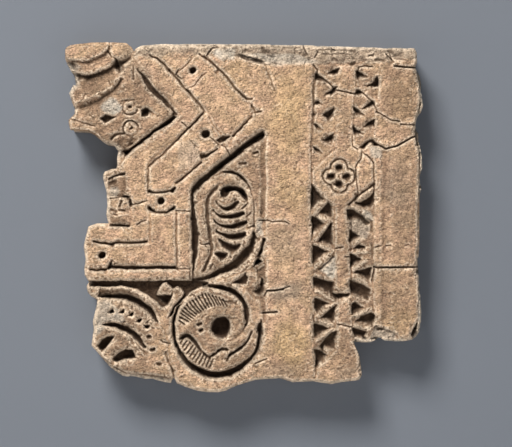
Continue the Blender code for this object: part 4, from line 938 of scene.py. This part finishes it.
def chip(relief):
    """Small pits all over the face, and bites out of the arrises."""
    chance = np.random.default_rng(8)
    for _ in range(CHIPS_ON_FACE):
        x, y = chance.uniform(CHIPPED_FROM, CHIPPED_TO)
        width = 1.3 + 3.0 * chance.uniform() ** 3
        end = (x + chance.uniform(0, 2.2), y + chance.uniform(-1.2, 1.2))
        relief.groove([(x, y), end], width, depth=chance.uniform(0.4, 1.3) * MM,
                      stain_and_shade=chance.uniform(0, 0.5))
    proud = blurred(relief.depth, 1.6) - relief.depth
    likely = np.flatnonzero((proud > 0.7 * MM) & (relief.rim > 0))
    for place in chance.choice(likely, CHIPS_ON_ARRISES, replace=False):
        x, y = relief.spots.reshape(-1, 2)[place]
        width = 1.6 + 3.2 * chance.uniform() ** 2
        end = (x + chance.uniform(-2, 2), y + chance.uniform(-2, 2))
        relief.groove([(x, y), end], width, depth=chance.uniform(0.5, 2.2) * MM, wander=0.5,
                      seed=int(place) % 97)


def wear(relief):
    """Years of wear: arrises go round, and the face sinks a little beside each cut."""
    for width, share in ((0.7, 0.45), (1.8, 0.25), (4.0, 0.30)):
        soft = blurred(relief.depth, width)
        relief.depth += share * np.maximum(0, soft - relief.depth)
    relief.depth = blurred(relief.depth, 0.22)


def stray_lines(relief):
    """No line is ruler-straight: the whole carving wanders a little."""
    spots = strayed(strayed(relief.spots, 1.0, 11.0, 101), 0.55, 3.4, 107)
    x = clamp((spots[..., 0] - relief.x[0]) / STEP, 0, len(relief.x) - 1.001)
    y = clamp((spots[..., 1] - relief.y[0]) / STEP, 0, len(relief.y) - 1.001)
    column, row = x.astype(int), y.astype(int)
    right, down = x - column, y - row
    old = relief.depth
    upper = old[row, column] * (1 - right) + old[row, column + 1] * right
    lower = old[row + 1, column] * (1 - right) + old[row + 1, column + 1] * right
    relief.depth = upper * (1 - down) + lower * down


def break_edges(relief):
    """The carved face crumbles towards the broken outline."""
    lumps = 0.5 + 0.5 * relief.noise(22, 31, 3)
    fine = 0.5 + 0.5 * relief.noise(6, 33, 2)
    reach = 0.7 + 5.0 * lumps ** 2 + 1.4 * fine
    loss = ramp(relief.rim, reach, 0.0) ** 1.3
    wing_top = [(60, 36), (134, 36), (134, 62), (60, 62)]
    firm = 1 - 0.7 * ramp(within(relief.spots, wing_top), -2, 2)
    relief.depth += firm * (0.8 + 4.6 * lumps + 2.0 * fine) * MM * loss


LEDGE = [(134, 56), (150, 56), (170, 54), (200, 54), (236, 57), (262, 63), (290, 63), (318, 64), (352, 64),
         (380, 61), (400, 60), (424, 60), (424, 38), (134, 38)]
LEDGE_FOOT, LEDGE_TALL = 60, 16
RAGGED_FROM, RAGGED_FULL = 190, 250
DENTED_FROM, DENTED_TO = (200, 45), (420, 62)
LEDGE_DENTS = 26


def break_top(relief):
    """The rough broken ledge along the top edge, smoother at its left end."""
    area, spots = relief.window(LEDGE, 2)
    share = ramp(within(strayed(spots, 2.6, 8, 71), LEDGE), -0.3, 1.2)
    rise = clamp((LEDGE_FOOT - spots[..., 1]) / LEDGE_TALL)
    sheet = on_sheet(spots)
    lumps = rough(sheet, 12, 73, 3).reshape(share.shape)
    scars = np.abs(rough(sheet * (0.55, 1.0, 1.0), 5, 75, 3).reshape(share.shape))
    ragged = ramp(spots[..., 0], RAGGED_FROM, RAGGED_FULL)
    relief.depth[area] += share * (0.9 + 2.4 * rise ** 1.4 + 0.7 * lumps + 1.0 * scars) * MM
    relief.depth[area] += share * ragged * (0.8 + 3.4 * lumps + 3.2 * scars) * MM
    chance = np.random.default_rng(21)
    for _ in range(LEDGE_DENTS):
        x, y = chance.uniform(DENTED_FROM, DENTED_TO)
        end = (x + chance.uniform(0, 3), y + chance.uniform(-2, 2))
        width, depth = chance.uniform((1.4, 1.0), (3.0, 3.0))
        relief.groove([(x, y), end], width, depth * MM, wander=0.6, stain_and_shade=chance.uniform(0.1, 0.7))
    streak = share * ramp(scars, 0.34, 0.6) * (0.25 + 0.45 * ragged)
    relief.stain_and_shade[area] = np.maximum(relief.stain_and_shade[area], streak)
    ledge_cuts = [
        ([(242, 54), (248, 57), (256, 58.5), (264, 63), (268, 72), (275, 91)], 2.4, 2.4),
        ([(240, 55), (250, 59), (262, 62)], 5.0, 4.0), ([(318, 50), (334, 49), (352, 50)], 2.6, 2.4),
        ([(322, 54), (338, 53), (350, 54)], 2.0, 2.0), ([(376, 60), (384, 60)], 4.0, 3.4),
        ([(389, 51), (393, 62)], 2.2, 2.6), ([(208, 54), (212, 48), (218, 47)], 2.2, 2.6),
        ([(150, 58), (140, 52), (134, 56)], 2.0, 1.4), ([(270, 46), (300, 47)], 2.2, 1.8),
    ]
    for path, width, depth in ledge_cuts:
        relief.groove(path, width, depth * MM, wander=0.9, stain_and_shade=0.5)


def break_blocks(relief):
    """Broken lumps: the stub left of the upright, the strip's filled corner, the slope under the feet."""
    stub_joint = [(125, 166), (134, 166), (134, 196), (126, 196)]
    relief.level(stub_joint, depth=1.4 * MM, feather=1.5)
    patches = [
        ([(102, 168), (128, 168), (130, 198), (129, 226), (104, 226)], 2.4, 8),
        ([(349, 219), (371, 221), (370, 240), (350, 238)], 2.2, 5),
        ([(96, 300), (124, 304), (126, 322), (96, 336)], 1.6, 6),
        ([(370, 326), (420, 322), (420, 342), (366, 344)], 1.8, 7),
        ([(120, 136), (142, 136), (126, 156), (112, 150)], 2.4, 6),
        ([(62, 60), (82, 68), (78, 82), (62, 84)], 2.0, 6),
        ([(62, 86), (82, 90), (80, 108), (62, 112)], 2.0, 6),
        ([(312, 62), (378, 62), (378, 150), (312, 150)], 1.0, 5),
        ([(196, 384), (262, 374), (262, 394), (180, 394)], 1.6, 6),
        ([(100, 366), (176, 372), (176, 394), (100, 384)], 1.4, 6),
    ]
    for number, (outline, amount, size) in enumerate(patches):
        area, spots = relief.window(outline, 3)
        share = ramp(within(spots, outline), -2, 3)
        lumps = rough(on_sheet(spots), size, 120 + number, 3).reshape(share.shape)
        relief.depth[area] += share * amount * (0.5 + 1.3 * lumps) * MM
    stub_cuts = [
        ([(108.4, 179), (115.3, 175.7), (123.7, 173.8)], 2.4, 4.0),
        ([(109.9, 198.3), (118.3, 197.4), (126.8, 196.8)], 2.2, 4.0),
        ([(126.8, 197.5), (129.6, 200), (130.6, 205)], 4.2, 7.0),
        ([(121.4, 201.3), (119.1, 206.7)], 3.0, 5.0), ([(109, 183), (115, 181)], 5.0, 3.0),
        ([(111, 210), (116, 212)], 4.0, 4.5), ([(119, 210), (124, 211)], 3.6, 4.5),
        ([(114, 214.5), (117, 215)], 3.0, 3.5), ([(109.9, 225.4), (128.3, 226.4)], 2.6, 6.0),
    ]
    for path, width, depth in stub_cuts:
        relief.groove(path, width, depth * MM, wander=0.6, stain_and_shade=0.6)
    stub_ridge = [(119, 215.5), (127, 214.6)]
    relief.groove(stub_ridge, width=3.0, depth=-2.4 * MM, wander=0.4)
    stub_swell = [(110, 191), (118, 192)]
    relief.groove(stub_swell, width=6.0, depth=-2.0 * MM, wander=0.6)
    stub_slope = [(106, 214), (130, 214), (130, 227), (106, 226)]
    relief.lean(stub_slope, start=(118, 216), end=(118, 226), depth=7 * MM)


def roughen(relief):
    """Hand-cut unevenness: gentle on the face, coarse where the plaster is broken or was never smoothed."""
    deep = ramp(relief.depth, 4 * MM, 12 * MM)
    swell = relief.noise(30, 3, 2) * 0.9
    tool = relief.noise(8, 5, 3) * 0.6
    grain = relief.noise(1.9, 7, 1) * 0.34
    sheet = on_sheet(relief.spots)
    x, y, z = sheet.T
    slanted = np.column_stack([x * 0.45 - y * 0.3, y + x * 0.6, z])
    streaks = rough(slanted, 2.6, 19, 1).reshape(deep.shape)
    crumble = relief.noise(5.5, 9, 3) * 1.2
    relief.depth += (swell + tool + grain + 0.5 * streaks + deep * crumble + 1.3) * MM
    relief.depth = np.maximum(relief.depth, 0.02 * MM)


# The panel's surface: carved front, broken sides, plain back

def kept_cells(shown):
    """The grid cells that lie wholly on the panel, with none that touch only at a corner."""
    cells = shown[:-1, :-1] & shown[:-1, 1:] & shown[1:, :-1] & shown[1:, 1:]
    while True:
        a, b, c, d = cells[:-1, :-1], cells[:-1, 1:], cells[1:, :-1], cells[1:, 1:]
        rows, columns = np.nonzero((a & d & ~b & ~c) | (b & c & ~a & ~d))
        if not len(rows):
            return cells
        cells[rows, columns] = False
        cells[rows, columns + 1] = False


def rim_loop(faces):
    """The front's edge, as one closed walk over its points."""
    starts = faces.ravel()
    ends = np.roll(faces, -1, axis=1).ravel()
    count = int(faces.max()) + 1
    lone = ~np.isin(starts.astype(np.int64) * count + ends, ends.astype(np.int64) * count + starts)
    onward = dict(zip(starts[lone].tolist(), ends[lone].tolist()))
    longest = []
    while onward:
        walk = [next(iter(onward))]
        while walk[-1] in onward:
            walk.append(onward.pop(walk[-1]))
        if len(walk) > len(longest):
            longest = walk
    return longest[:-1]


def inward(loop):
    """Each loop spot's direction into the panel, smooth round the corners."""
    tangent = np.roll(loop, -3, axis=0) - np.roll(loop, 3, axis=0)
    normal = np.column_stack([tangent[:, 1], -tangent[:, 0]])
    for _ in range(6):
        normal = normal + 0.5 * (np.roll(normal, 1, axis=0) + np.roll(normal, -1, axis=0))
    return normal / np.maximum(np.hypot(*normal.T), 1e-9)[:, None]


def in_space(spots, depth):
    """Spots on the drawing, at their depths, as points in metres."""
    return np.column_stack([(spots[:, 0] - MIDDLE_X) * UNIT, FACE + depth, (MIDDLE_Y - spots[:, 1]) * UNIT])


def build_surface(relief, marks):
    """One closed mesh from the relief, and the marks on its points."""
    cells = kept_cells(relief.rim > 0)
    rows, columns = np.nonzero(cells)
    wide = relief.depth.shape[1]
    corner = rows * wide + columns
    faces = np.column_stack([corner, corner + wide, corner + wide + 1, corner + 1])
    used, faces = np.unique(faces, return_inverse=True)
    faces = faces.reshape(-1, 4)
    spots = relief.spots.reshape(-1, 2)[used].copy()
    depth = relief.depth.ravel()[used]
    loop = np.array(rim_loop(faces))
    _, places, _ = nearest_on(spots[loop], relief.outline, closed=True)
    spots[loop] += (places - spots[loop]) * 0.92    # the stepped edge moves on to the drawn outline
    points = [in_space(spots, depth)]
    quads = [faces]
    values = {name: [sheet.ravel()[used]] for name, sheet in marks.items()}

    # sides, ring behind ring, swelling out unevenly between the front and the back
    thick = BACK - FACE
    turn = inward(spots[loop])
    before = loop
    total = len(spots)
    for ring in range(1, SIDE_RINGS + 1):
        share = ring / SIDE_RINGS
        deep = depth[loop] + (thick - depth[loop]) * share
        sheet = in_space(spots[loop], deep)
        bite = clamp(rough(sheet, 34 * MM, 51, 3) * 1.6 + 1.0, 0, 3)
        bite = bite + rough(sheet, 9 * MM, 53, 2) * 0.6 + 0.4
        swell = math.sin(math.pi * min(share, 0.94)) ** 0.5 if ring < SIDE_RINGS else 0
        bite = clamp(bite, 0, 3) * swell
        moved = spots[loop] + turn * bite[:, None]
        points.append(in_space(moved, deep))
        here = np.arange(total, total + len(loop))
        quads.append(np.column_stack([np.roll(before, -1), before, here, np.roll(here, -1)]))
        for name in values:
            worth = values[name][0][loop] * (1 - share)
            values[name].append(np.full(len(loop), 0.8) if name == "side" else worth)
        total += len(loop)
        before = here

    # the back: flat points inside the last ring, a little dented
    edge = spots[loop]
    across = np.arange(DRAWING_LEFT, DRAWING_RIGHT, BACK_SPACING)
    down = np.arange(DRAWING_TOP, DRAWING_BOTTOM, BACK_SPACING)
    grid = np.stack(np.meshgrid(across, down), axis=-1).reshape(-1, 2)
    middle = grid[within(grid, relief.outline) > 0.75 * BACK_SPACING]
    flat = [Vector(p) for p in np.concatenate([edge, middle])]
    count = len(edge)
    sides = [(i, (i + 1) % count) for i in range(count)]
    result = delaunay_2d_cdt(flat, sides, [], 1, 1e-7)
    dents = clamp(rough(in_space(middle, np.zeros(len(middle))), 60 * MM, 15, 3) * 1.2) * MM
    points.append(in_space(middle, thick - dents))
    numbers = np.concatenate([before, np.arange(total, total + len(middle))])
    triangles = numbers[np.array(result[2])]
    for name in values:
        values[name].append(np.full(len(middle), 0.8 if name == "side" else 0.0))

    mesh = bpy.data.meshes.new("weathered_panel")
    faces = np.concatenate(quads).tolist() + triangles.tolist()
    mesh.from_pydata(np.concatenate(points).tolist(), [], faces)
    shape = bmesh.new()
    shape.from_mesh(mesh)
    bmesh.ops.recalc_face_normals(shape, faces=shape.faces)
    shape.to_mesh(mesh)
    shape.free()
    for name, parts in values.items():
        layer = mesh.attributes.new(name, "FLOAT", "POINT")
        layer.data.foreach_set("value", np.concatenate(parts).astype(np.float32))
    return mesh


def thinned(piece):
    """Fewer triangles, most of them kept where the carving is."""
    fewer = piece.modifiers.new("fewer_faces", "DECIMATE")
    count = sum(len(p.vertices) - 2 for p in piece.data.polygons)
    fewer.ratio = min(1.0, MOST_TRIANGLES / count)
    graph = bpy.context.evaluated_depsgraph_get()
    mesh = bpy.data.meshes.new_from_object(piece.evaluated_get(graph))
    piece.modifiers.clear()
    piece.data = mesh


# Where the colours lie: mends by outline and strength; stains, some of them painted shade, by middle, half
# size and strength

PLASTER = [
    ([(109, 96), (115, 99), (120, 104), (122, 108), (117, 113), (110, 114), (105, 113), (101, 107),
      (102, 103)], 1.0),
    ([(95, 303), (107, 300), (122, 312), (124, 322), (108, 322), (100, 334), (93, 336)], 0.8),
    ([(335, 256), (335.5, 278), (331.5, 279), (320, 269.5), (330, 257)], 1.0),
    ([(363, 209), (371, 212), (373, 221), (368, 222), (363, 216)], 0.9),
    ([(349, 219), (362, 220), (370, 226), (368, 238), (358, 238), (350, 231)], 0.5),
    ([(370, 146), (382, 147), (382, 158), (371, 158)], 0.8),
    ([(256, 220), (262, 219), (262, 235), (257, 235)], 0.8),
    ([(376, 326), (395, 330), (396, 342), (368, 342)], 0.6),
    ([(109, 187), (117, 186), (120, 191), (117, 197), (110, 198)], 0.7),
    ([(104, 193), (108.6, 193), (109.4, 208), (108.4, 222), (105, 222)], 0.7),
    ([(240, 54), (264, 53), (300, 55), (318, 61), (300, 64.5), (264, 64.5)], 0.65),
    ([(92, 138), (116, 146), (118, 164), (104, 160)], 0.7),
    ([(216, 48), (236, 49), (234, 60), (222, 60), (212, 54)], 0.9),
    ([(176, 142), (198, 138), (200, 160), (180, 172)], 0.35),
    ([(66, 62), (80, 66), (72, 80), (66, 72)], 0.5),
]
OCHRE = [
    ((290, 110), (26, 60), 0.8), ((290, 190), (22, 40), 0.6), ((292, 345), (24, 36), 0.9),
    ((400, 320), (20, 22), 0.6), ((400, 95), (20, 30), 0.35), ((240, 80), (24, 22), 0.35),
    ((345, 365), (22, 14), 0.3),
]
# brown patches, part dirt and part painted shade, darkest over the deeply carved scroll, fan and leaf
BROWN_DIRT_AND_SHADE = [
    ((400, 90), (34, 50), 0.65), ((402, 200), (28, 80), 0.6), ((398, 300), (30, 46), 0.6),
    ((345, 340), (32, 44), 0.7), ((345, 240), (36, 70), 0.6), ((112, 108), (62, 56), 0.85),
    ((225, 228), (46, 66), 1.0), ((125, 335), (54, 56), 1.0), ((214, 330), (54, 56), 0.75),
    ((345, 100), (30, 44), 0.35), ((290, 372), (50, 16), 0.5), ((150, 90), (20, 20), 0.3),
    ((248, 290), (20, 40), 0.6), ((115, 198), (16, 34), 0.3), ((150, 255), (70, 26), 0.15),
]
GREY_DIRT = [
    ((285, 290), (28, 14), 0.8), ((285, 240), (30, 26), 0.35), ((345, 370), (20, 14), 0.45),
    ((400, 185), (18, 40), 0.25), ((280, 372), (30, 10), 0.35),
]


def surface_marks(relief):
    """What the finish needs at each place: hollow (painted shade with some dirt), arris (painted
    highlight), crack, repair, ochre, grime with painted shade, soot with painted shade on the ledge, and
    side.
    """
    depth = relief.depth
    # hollow: painted shade with some dirt, stronger the deeper a place lies below its surroundings and
    # below the face
    hollow = clamp((depth - blurred(depth, 6)) / (4.6 * MM)) * 0.55 + ramp(depth, 5 * MM, 17 * MM) * 0.7
    hollow *= ramp(relief.rim, 0.5, 5)
    # arris: painted highlight on the proud edges
    arris = clamp((blurred(depth, 1.0) - depth - 0.10 * MM) / (0.42 * MM))
    repair = np.zeros(depth.shape)
    for outline, strength in PLASTER:
        area, spots = relief.window(outline, 6)
        share = strength * ramp(within(strayed(spots, 1.8, 6, 41), outline), -1.2, 1.2)
        repair[area] = np.maximum(repair[area], share)
    marks = {"hollow": clamp(hollow), "arris": arris, "crack": clamp(relief.stain_and_shade), "repair": repair}
    moved = strayed(relief.spots, 8.0, 26, 70)
    for name, patches in (("ochre", OCHRE), ("grime_and_shade", BROWN_DIRT_AND_SHADE), ("soot_and_ledge_shade", GREY_DIRT)):
        sheet = np.zeros(depth.shape)
        for middle, size, strength in patches:
            away = np.hypot(*np.moveaxis((moved - middle) / size, -1, 0))
            sheet = np.maximum(sheet, strength * ramp(away, 1.0, 0.35))
        marks[name] = sheet
    # painted shade: a brown halo darkens the face round the deep cuts
    cut_shade_halo = 0.85 * ramp(blurred(depth, 2.6), 3.0 * MM, 7.5 * MM) * ramp(relief.rim, 0, 6)
    marks["grime_and_shade"] = np.maximum(marks["grime_and_shade"], cut_shade_halo)
    # the top ledge is painted grey and darker: part grey weathering, part painted shade
    area, spots = relief.window(LEDGE, 4)
    worn = 0.9 * ramp(within(strayed(spots, 3.0, 9, 77), LEDGE), -1.5, 2.0)
    marks["soot_and_ledge_shade"][area] = np.maximum(marks["soot_and_ledge_shade"][area], worn)
    marks["side"] = ramp(depth, 9 * MM, 15 * MM) * ramp(relief.rim, 6, 3)
    for path in PALE_RIMS:
        area, spots = relief.window(path, 3)
        away, _, _ = nearest_on(spots, path)
        marks["side"][area] = np.maximum(marks["side"][area], 1.4 * ramp(away, 2.4, 1.0))
    return marks


# Finishes

class Wiring:
    """Short ways to add and join nodes in one tree."""

    def __init__(self, tree):
        self.tree = tree

    def add(self, kind, **settings):
        node = self.tree.nodes.new("ShaderNode" + kind)
        for name, value in settings.items():
            setattr(node, name, value)
        return node

    def join(self, source, socket):
        if hasattr(source, "is_output"):
            self.tree.links.new(source, socket)
        else:
            socket.default_value = source

    def math(self, operation, a, b):
        node = self.add("Math", operation=operation)
        self.join(a, node.inputs[0])
        self.join(b, node.inputs[1])
        return node.outputs[0]

    def noise(self, place, scale, detail=3.0, roughness=0.55, distortion=0.0):
        node = self.add("TexNoise")
        self.join(place, node.inputs["Vector"])
        node.inputs["Scale"].default_value = scale
        node.inputs["Detail"].default_value = detail
        node.inputs["Roughness"].default_value = roughness
        node.inputs["Distortion"].default_value = distortion
        return node.outputs[0]

    def ramp(self, value, start, end, low=0.0, high=1.0):
        node = self.add("MapRange", interpolation_type="SMOOTHSTEP")
        self.join(value, node.inputs["Value"])
        node.inputs["From Min"].default_value = start
        node.inputs["From Max"].default_value = end
        node.inputs["To Min"].default_value = low
        node.inputs["To Max"].default_value = high
        return node.outputs[0]

    def mix(self, share, a, b, blend="MIX"):
        node = self.add("Mix", data_type="RGBA", blend_type=blend)
        self.join(share, node.inputs[0])
        self.join(a, node.inputs[6])
        self.join(b, node.inputs[7])
        return node.outputs[2]

    def mark(self, name):
        return self.add("Attribute", attribute_name=name, attribute_type="GEOMETRY").outputs["Fac"]


def plaster_grain():
    """Fine grain, blotches, pits and the surface height of sandy gypsum plaster, at real scale."""
    group = bpy.data.node_groups.new("plaster_grain", "ShaderNodeTree")
    group.interface.new_socket("Place", in_out="INPUT", socket_type="NodeSocketVector")
    for label in ("Grain", "Blotch", "Pits", "Height"):
        group.interface.new_socket(label, in_out="OUTPUT", socket_type="NodeSocketFloat")
    w = Wiring(group)
    source = group.nodes.new("NodeGroupInput")
    sink = group.nodes.new("NodeGroupOutput")
    place = source.outputs["Place"]
    turned = w.add("Mapping")
    w.join(place, turned.inputs["Vector"])
    turned.inputs["Rotation"].default_value = (0, math.radians(35), 0)
    turned.inputs["Scale"].default_value = (0.55, 1.0, 1.0)
    strokes = w.noise(turned.outputs[0], 420.0, 3.0, 0.65)
    fine = w.noise(place, 620.0, 2.0, 0.7)
    middle = w.noise(place, 260.0, 3.0, 0.6)
    blotch = w.noise(place, 34.0, 4.0, 0.6, 0.4)
    holes = w.noise(place, 420.0, 2.0, 0.5, 0.8)
    pits = w.ramp(holes, 0.385, 0.315)
    height = w.math("ADD", w.math("MULTIPLY", fine, 0.8), w.math("MULTIPLY", strokes, 0.8))
    height = w.math("ADD", height, middle)
    height = w.math("SUBTRACT", height, w.math("MULTIPLY", pits, 0.5))
    worn = w.ramp(w.noise(place, 60.0, 3.0, 0.6), 0.35, 0.65, 0.45, 1.5)
    height = w.math("MULTIPLY", height, worn)
    grain = w.math("ADD", w.math("MULTIPLY", fine, 0.45), w.math("MULTIPLY", strokes, 0.55))
    w.join(grain, sink.inputs["Grain"])
    w.join(blotch, sink.inputs["Blotch"])
    w.join(pits, sink.inputs["Pits"])
    w.join(height, sink.inputs["Height"])
    return group


def stucco_finish(grain_group):
    """Tan plaster with rosy and ochre blotches and grey-white mends, with a painted highlight on the pale
    arrises and painted shade in the dark hollows, cracks and pits.
    """
    material = bpy.data.materials.new("weathered_stucco")
    material.use_nodes = True
    tree = material.node_tree
    w = Wiring(tree)
    shader = tree.nodes["Principled BSDF"]
    place = w.add("TexCoord").outputs["Object"]
    grain = w.add("Group", node_tree=grain_group)
    w.join(place, grain.inputs["Place"])
    tan = (0.59, 0.395, 0.247, 1)
    rosy = (0.60, 0.385, 0.254, 1)
    yellow = (0.60, 0.41, 0.19, 1)
    grey = (0.34, 0.27, 0.205, 1)
    brown = (0.30, 0.195, 0.125, 1)
    white = (0.62, 0.56, 0.475, 1)
    dark = (0.045, 0.024, 0.013, 1)
    pale = (0.92, 0.74, 0.56, 1)
    colour = w.mix(w.ramp(grain.outputs["Blotch"], 0.38, 0.62), tan, rosy)
    colour = w.mix(w.math("MULTIPLY", w.mark("ochre"), 0.5), colour, yellow)
    # brown: dirt patches, plus painted shade over the carved regions and round the deep cuts
    colour = w.mix(w.math("MULTIPLY", w.mark("grime_and_shade"), 0.9), colour, brown)
    # grey: soot patches, plus painted shade and greying on the top ledge
    colour = w.mix(w.math("MULTIPLY", w.mark("soot_and_ledge_shade"), 0.8), colour, grey)
    wide = w.noise(place, 11.0, 4.0, 0.6)
    colour = w.mix(w.ramp(wide, 0.55, 0.75, 0.0, 0.45), colour, grey)
    repair = w.math("MULTIPLY", w.mark("repair"), w.ramp(grain.outputs["Blotch"], 0.25, 0.6, 0.45, 0.9))
    colour = w.mix(repair, colour, white)
    colour = w.mix(w.math("MULTIPLY", w.mark("side"), 0.7), colour, white)
    shade = w.ramp(grain.outputs["Grain"], 0.38, 0.62, 0.63, 1.31)
    spread = w.add("CombineColor")
    for channel in range(3):
        w.join(shade, spread.inputs[channel])
    colour = w.mix(1.0, colour, spread.outputs[0], "MULTIPLY")
    # painted highlight: the proud edges are painted pale
    arris_highlight = w.math("MULTIPLY", w.mark("arris"), w.ramp(grain.outputs["Grain"], 0.36, 0.6, 0.3, 1.0))
    colour = w.mix(arris_highlight, colour, pale)
    # painted shade with some dirt: the hollows are painted near-black
    hollow_shade_and_dirt = w.math("MULTIPLY", w.mark("hollow"), w.ramp(grain.outputs["Blotch"], 0.2, 0.7, 0.8, 1.0))
    colour = w.mix(w.math("MULTIPLY", hollow_shade_and_dirt, 0.95), colour, dark)
    # dirt in the cracks and painted shade in holes and cuts, painted near-black
    colour = w.mix(w.math("MULTIPLY", w.mark("crack"), 0.9), colour, dark)
    # painted shade: the grain's small pits are painted near-black
    colour = w.mix(w.math("MULTIPLY", grain.outputs["Pits"], 0.7), colour, dark)
    w.join(colour, shader.inputs["Base Color"])
    w.join(w.ramp(grain.outputs["Grain"], 0.3, 0.7, 0.84, 0.96), shader.inputs["Roughness"])
    shader.inputs["Specular IOR Level"].default_value = 0.25
    bump = w.add("Bump")
    bump.inputs["Strength"].default_value = 1.0
    bump.inputs["Distance"].default_value = 3.2 * MM
    w.join(grain.outputs["Height"], bump.inputs["Height"])
    w.join(bump.outputs[0], shader.inputs["Normal"])
    return material


def wall_finish():
    """A plain grey wall, seen only from its own side, that lets lamplight behind the panel through."""
    material = bpy.data.materials.new("plain_wall")
    material.use_nodes = True
    tree = material.node_tree
    w = Wiring(tree)
    shader = tree.nodes["Principled BSDF"]
    shader.inputs["Base Color"].default_value = (0.163, 0.180, 0.210, 1)
    shader.inputs["Roughness"].default_value = 0.95
    shader.inputs["Specular IOR Level"].default_value = 0.0
    clear = w.add("BsdfTransparent")
    choice = w.add("MixShader")
    behind = w.add("NewGeometry").outputs["Backfacing"]
    lamplight = w.add("LightPath").outputs["Is Shadow Ray"]
    unseen = w.math("MAXIMUM", behind, lamplight)
    w.join(unseen, choice.inputs[0])
    w.join(shader.outputs[0], choice.inputs[1])
    w.join(clear.outputs[0], choice.inputs[2])
    w.join(choice.outputs[0], tree.nodes["Material Output"].inputs["Surface"])
    return material


def floor_finish():
    material = bpy.data.materials.new("pale_floor")
    material.use_nodes = True
    shader = material.node_tree.nodes["Principled BSDF"]
    shader.inputs["Base Color"].default_value = (0.62, 0.62, 0.62, 1)
    shader.inputs["Roughness"].default_value = 0.9
    return material


# The room: wall, floor, light and camera

def plain_sheet(name, size, place, turn, material):
    mesh = bpy.data.meshes.new(name)
    shape = bmesh.new()
    bmesh.ops.create_grid(shape, x_segments=1, y_segments=1, size=size / 2)
    shape.to_mesh(mesh)
    shape.free()
    mesh.materials.append(material)
    sheet = bpy.data.objects.new(name, mesh)
    bpy.context.scene.collection.objects.link(sheet)
    sheet.location = place
    sheet.rotation_euler = turn


def lamp(name, place, aim, size, power, colour):
    data = bpy.data.lights.new(name, "AREA")
    data.shape = "SQUARE"
    data.size = size
    data.energy = power
    data.color = colour
    light = bpy.data.objects.new(name, data)
    bpy.context.scene.collection.objects.link(light)
    light.location = place
    light.rotation_euler = (Vector(aim) - Vector(place)).to_track_quat("-Z", "Y").to_euler()


def set_room():
    """A grey wall close behind the panel, a pale floor, and soft light from the upper left."""
    plain_sheet("wall", 5.0, (0, BACK + 3 * MM, 0), (math.radians(90), 0, 0), wall_finish())
    plain_sheet("floor", 8.0, (0, 0, CAD_LOW.z - 0.45), (0, 0, 0), floor_finish())
    lamp("key", (-1.68, -3.20, 3.78), (0, FACE, 0), 1.9, 432.0, (1.0, 0.97, 0.92))
    lamp("fill", (1.0, -2.3, -0.5), (0, FACE, 0), 1.8, 9.0, (0.93, 0.96, 1.0))
    lamp("back", (0.6, 2.0, 1.2), (0, BACK, 0), 1.5, 40.0, (1.0, 1.0, 1.0))
    world = bpy.data.worlds.new("soft_air")
    world.use_nodes = True
    sky = world.node_tree.nodes["Background"]
    sky.inputs["Color"].default_value = (0.80, 0.83, 0.88, 1)
    sky.inputs["Strength"].default_value = 0.10
    bpy.context.scene.world = world
    bpy.context.scene.view_settings.view_transform = "Standard"


def set_camera():
    """Straight ahead of the face, so that a picture pixel is a drawing unit on it."""
    data = bpy.data.cameras.new("camera")
    data.lens = LENS
    data.sensor_width = SENSOR
    camera = bpy.data.objects.new("camera", data)
    bpy.context.scene.collection.objects.link(camera)
    away = PICTURE_WIDE * UNIT * LENS / SENSOR
    right = (PICTURE_WIDE / 2 - MIDDLE_X) * UNIT
    up = (MIDDLE_Y - PICTURE_HIGH / 2) * UNIT
    camera.location = (right, FACE - away, up)
    camera.rotation_euler = (math.radians(90), 0, 0)
    bpy.context.scene.camera = camera


def make_panel():
    """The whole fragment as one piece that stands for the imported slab."""
    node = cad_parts["carved_panel"]
    solid = welded(node)
    relief = Relief(solid, back_outline(solid))
    solid.free()
    carve_straps(relief)
    carve_leaf(relief)
    carve_scroll(relief)
    carve_fan(relief)
    carve_wing(relief)
    carve_buds(relief)
    carve_strip(relief)
    pad_right_edge(relief)
    stray_lines(relief)
    break_top(relief)
    break_blocks(relief)
    wear(relief)
    crack(relief)
    chip(relief)
    break_edges(relief)
    roughen(relief)
    piece = bpy.data.objects.new("weathered_panel", build_surface(relief, surface_marks(relief)))
    bpy.context.scene.collection.objects.link(piece)
    thinned(piece)
    piece.data.shade_smooth()
    piece.data.materials.append(stucco_finish(plaster_grain()))
    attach(piece, "root")
    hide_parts("carved_panel")


set_camera()
make_panel()
set_room()
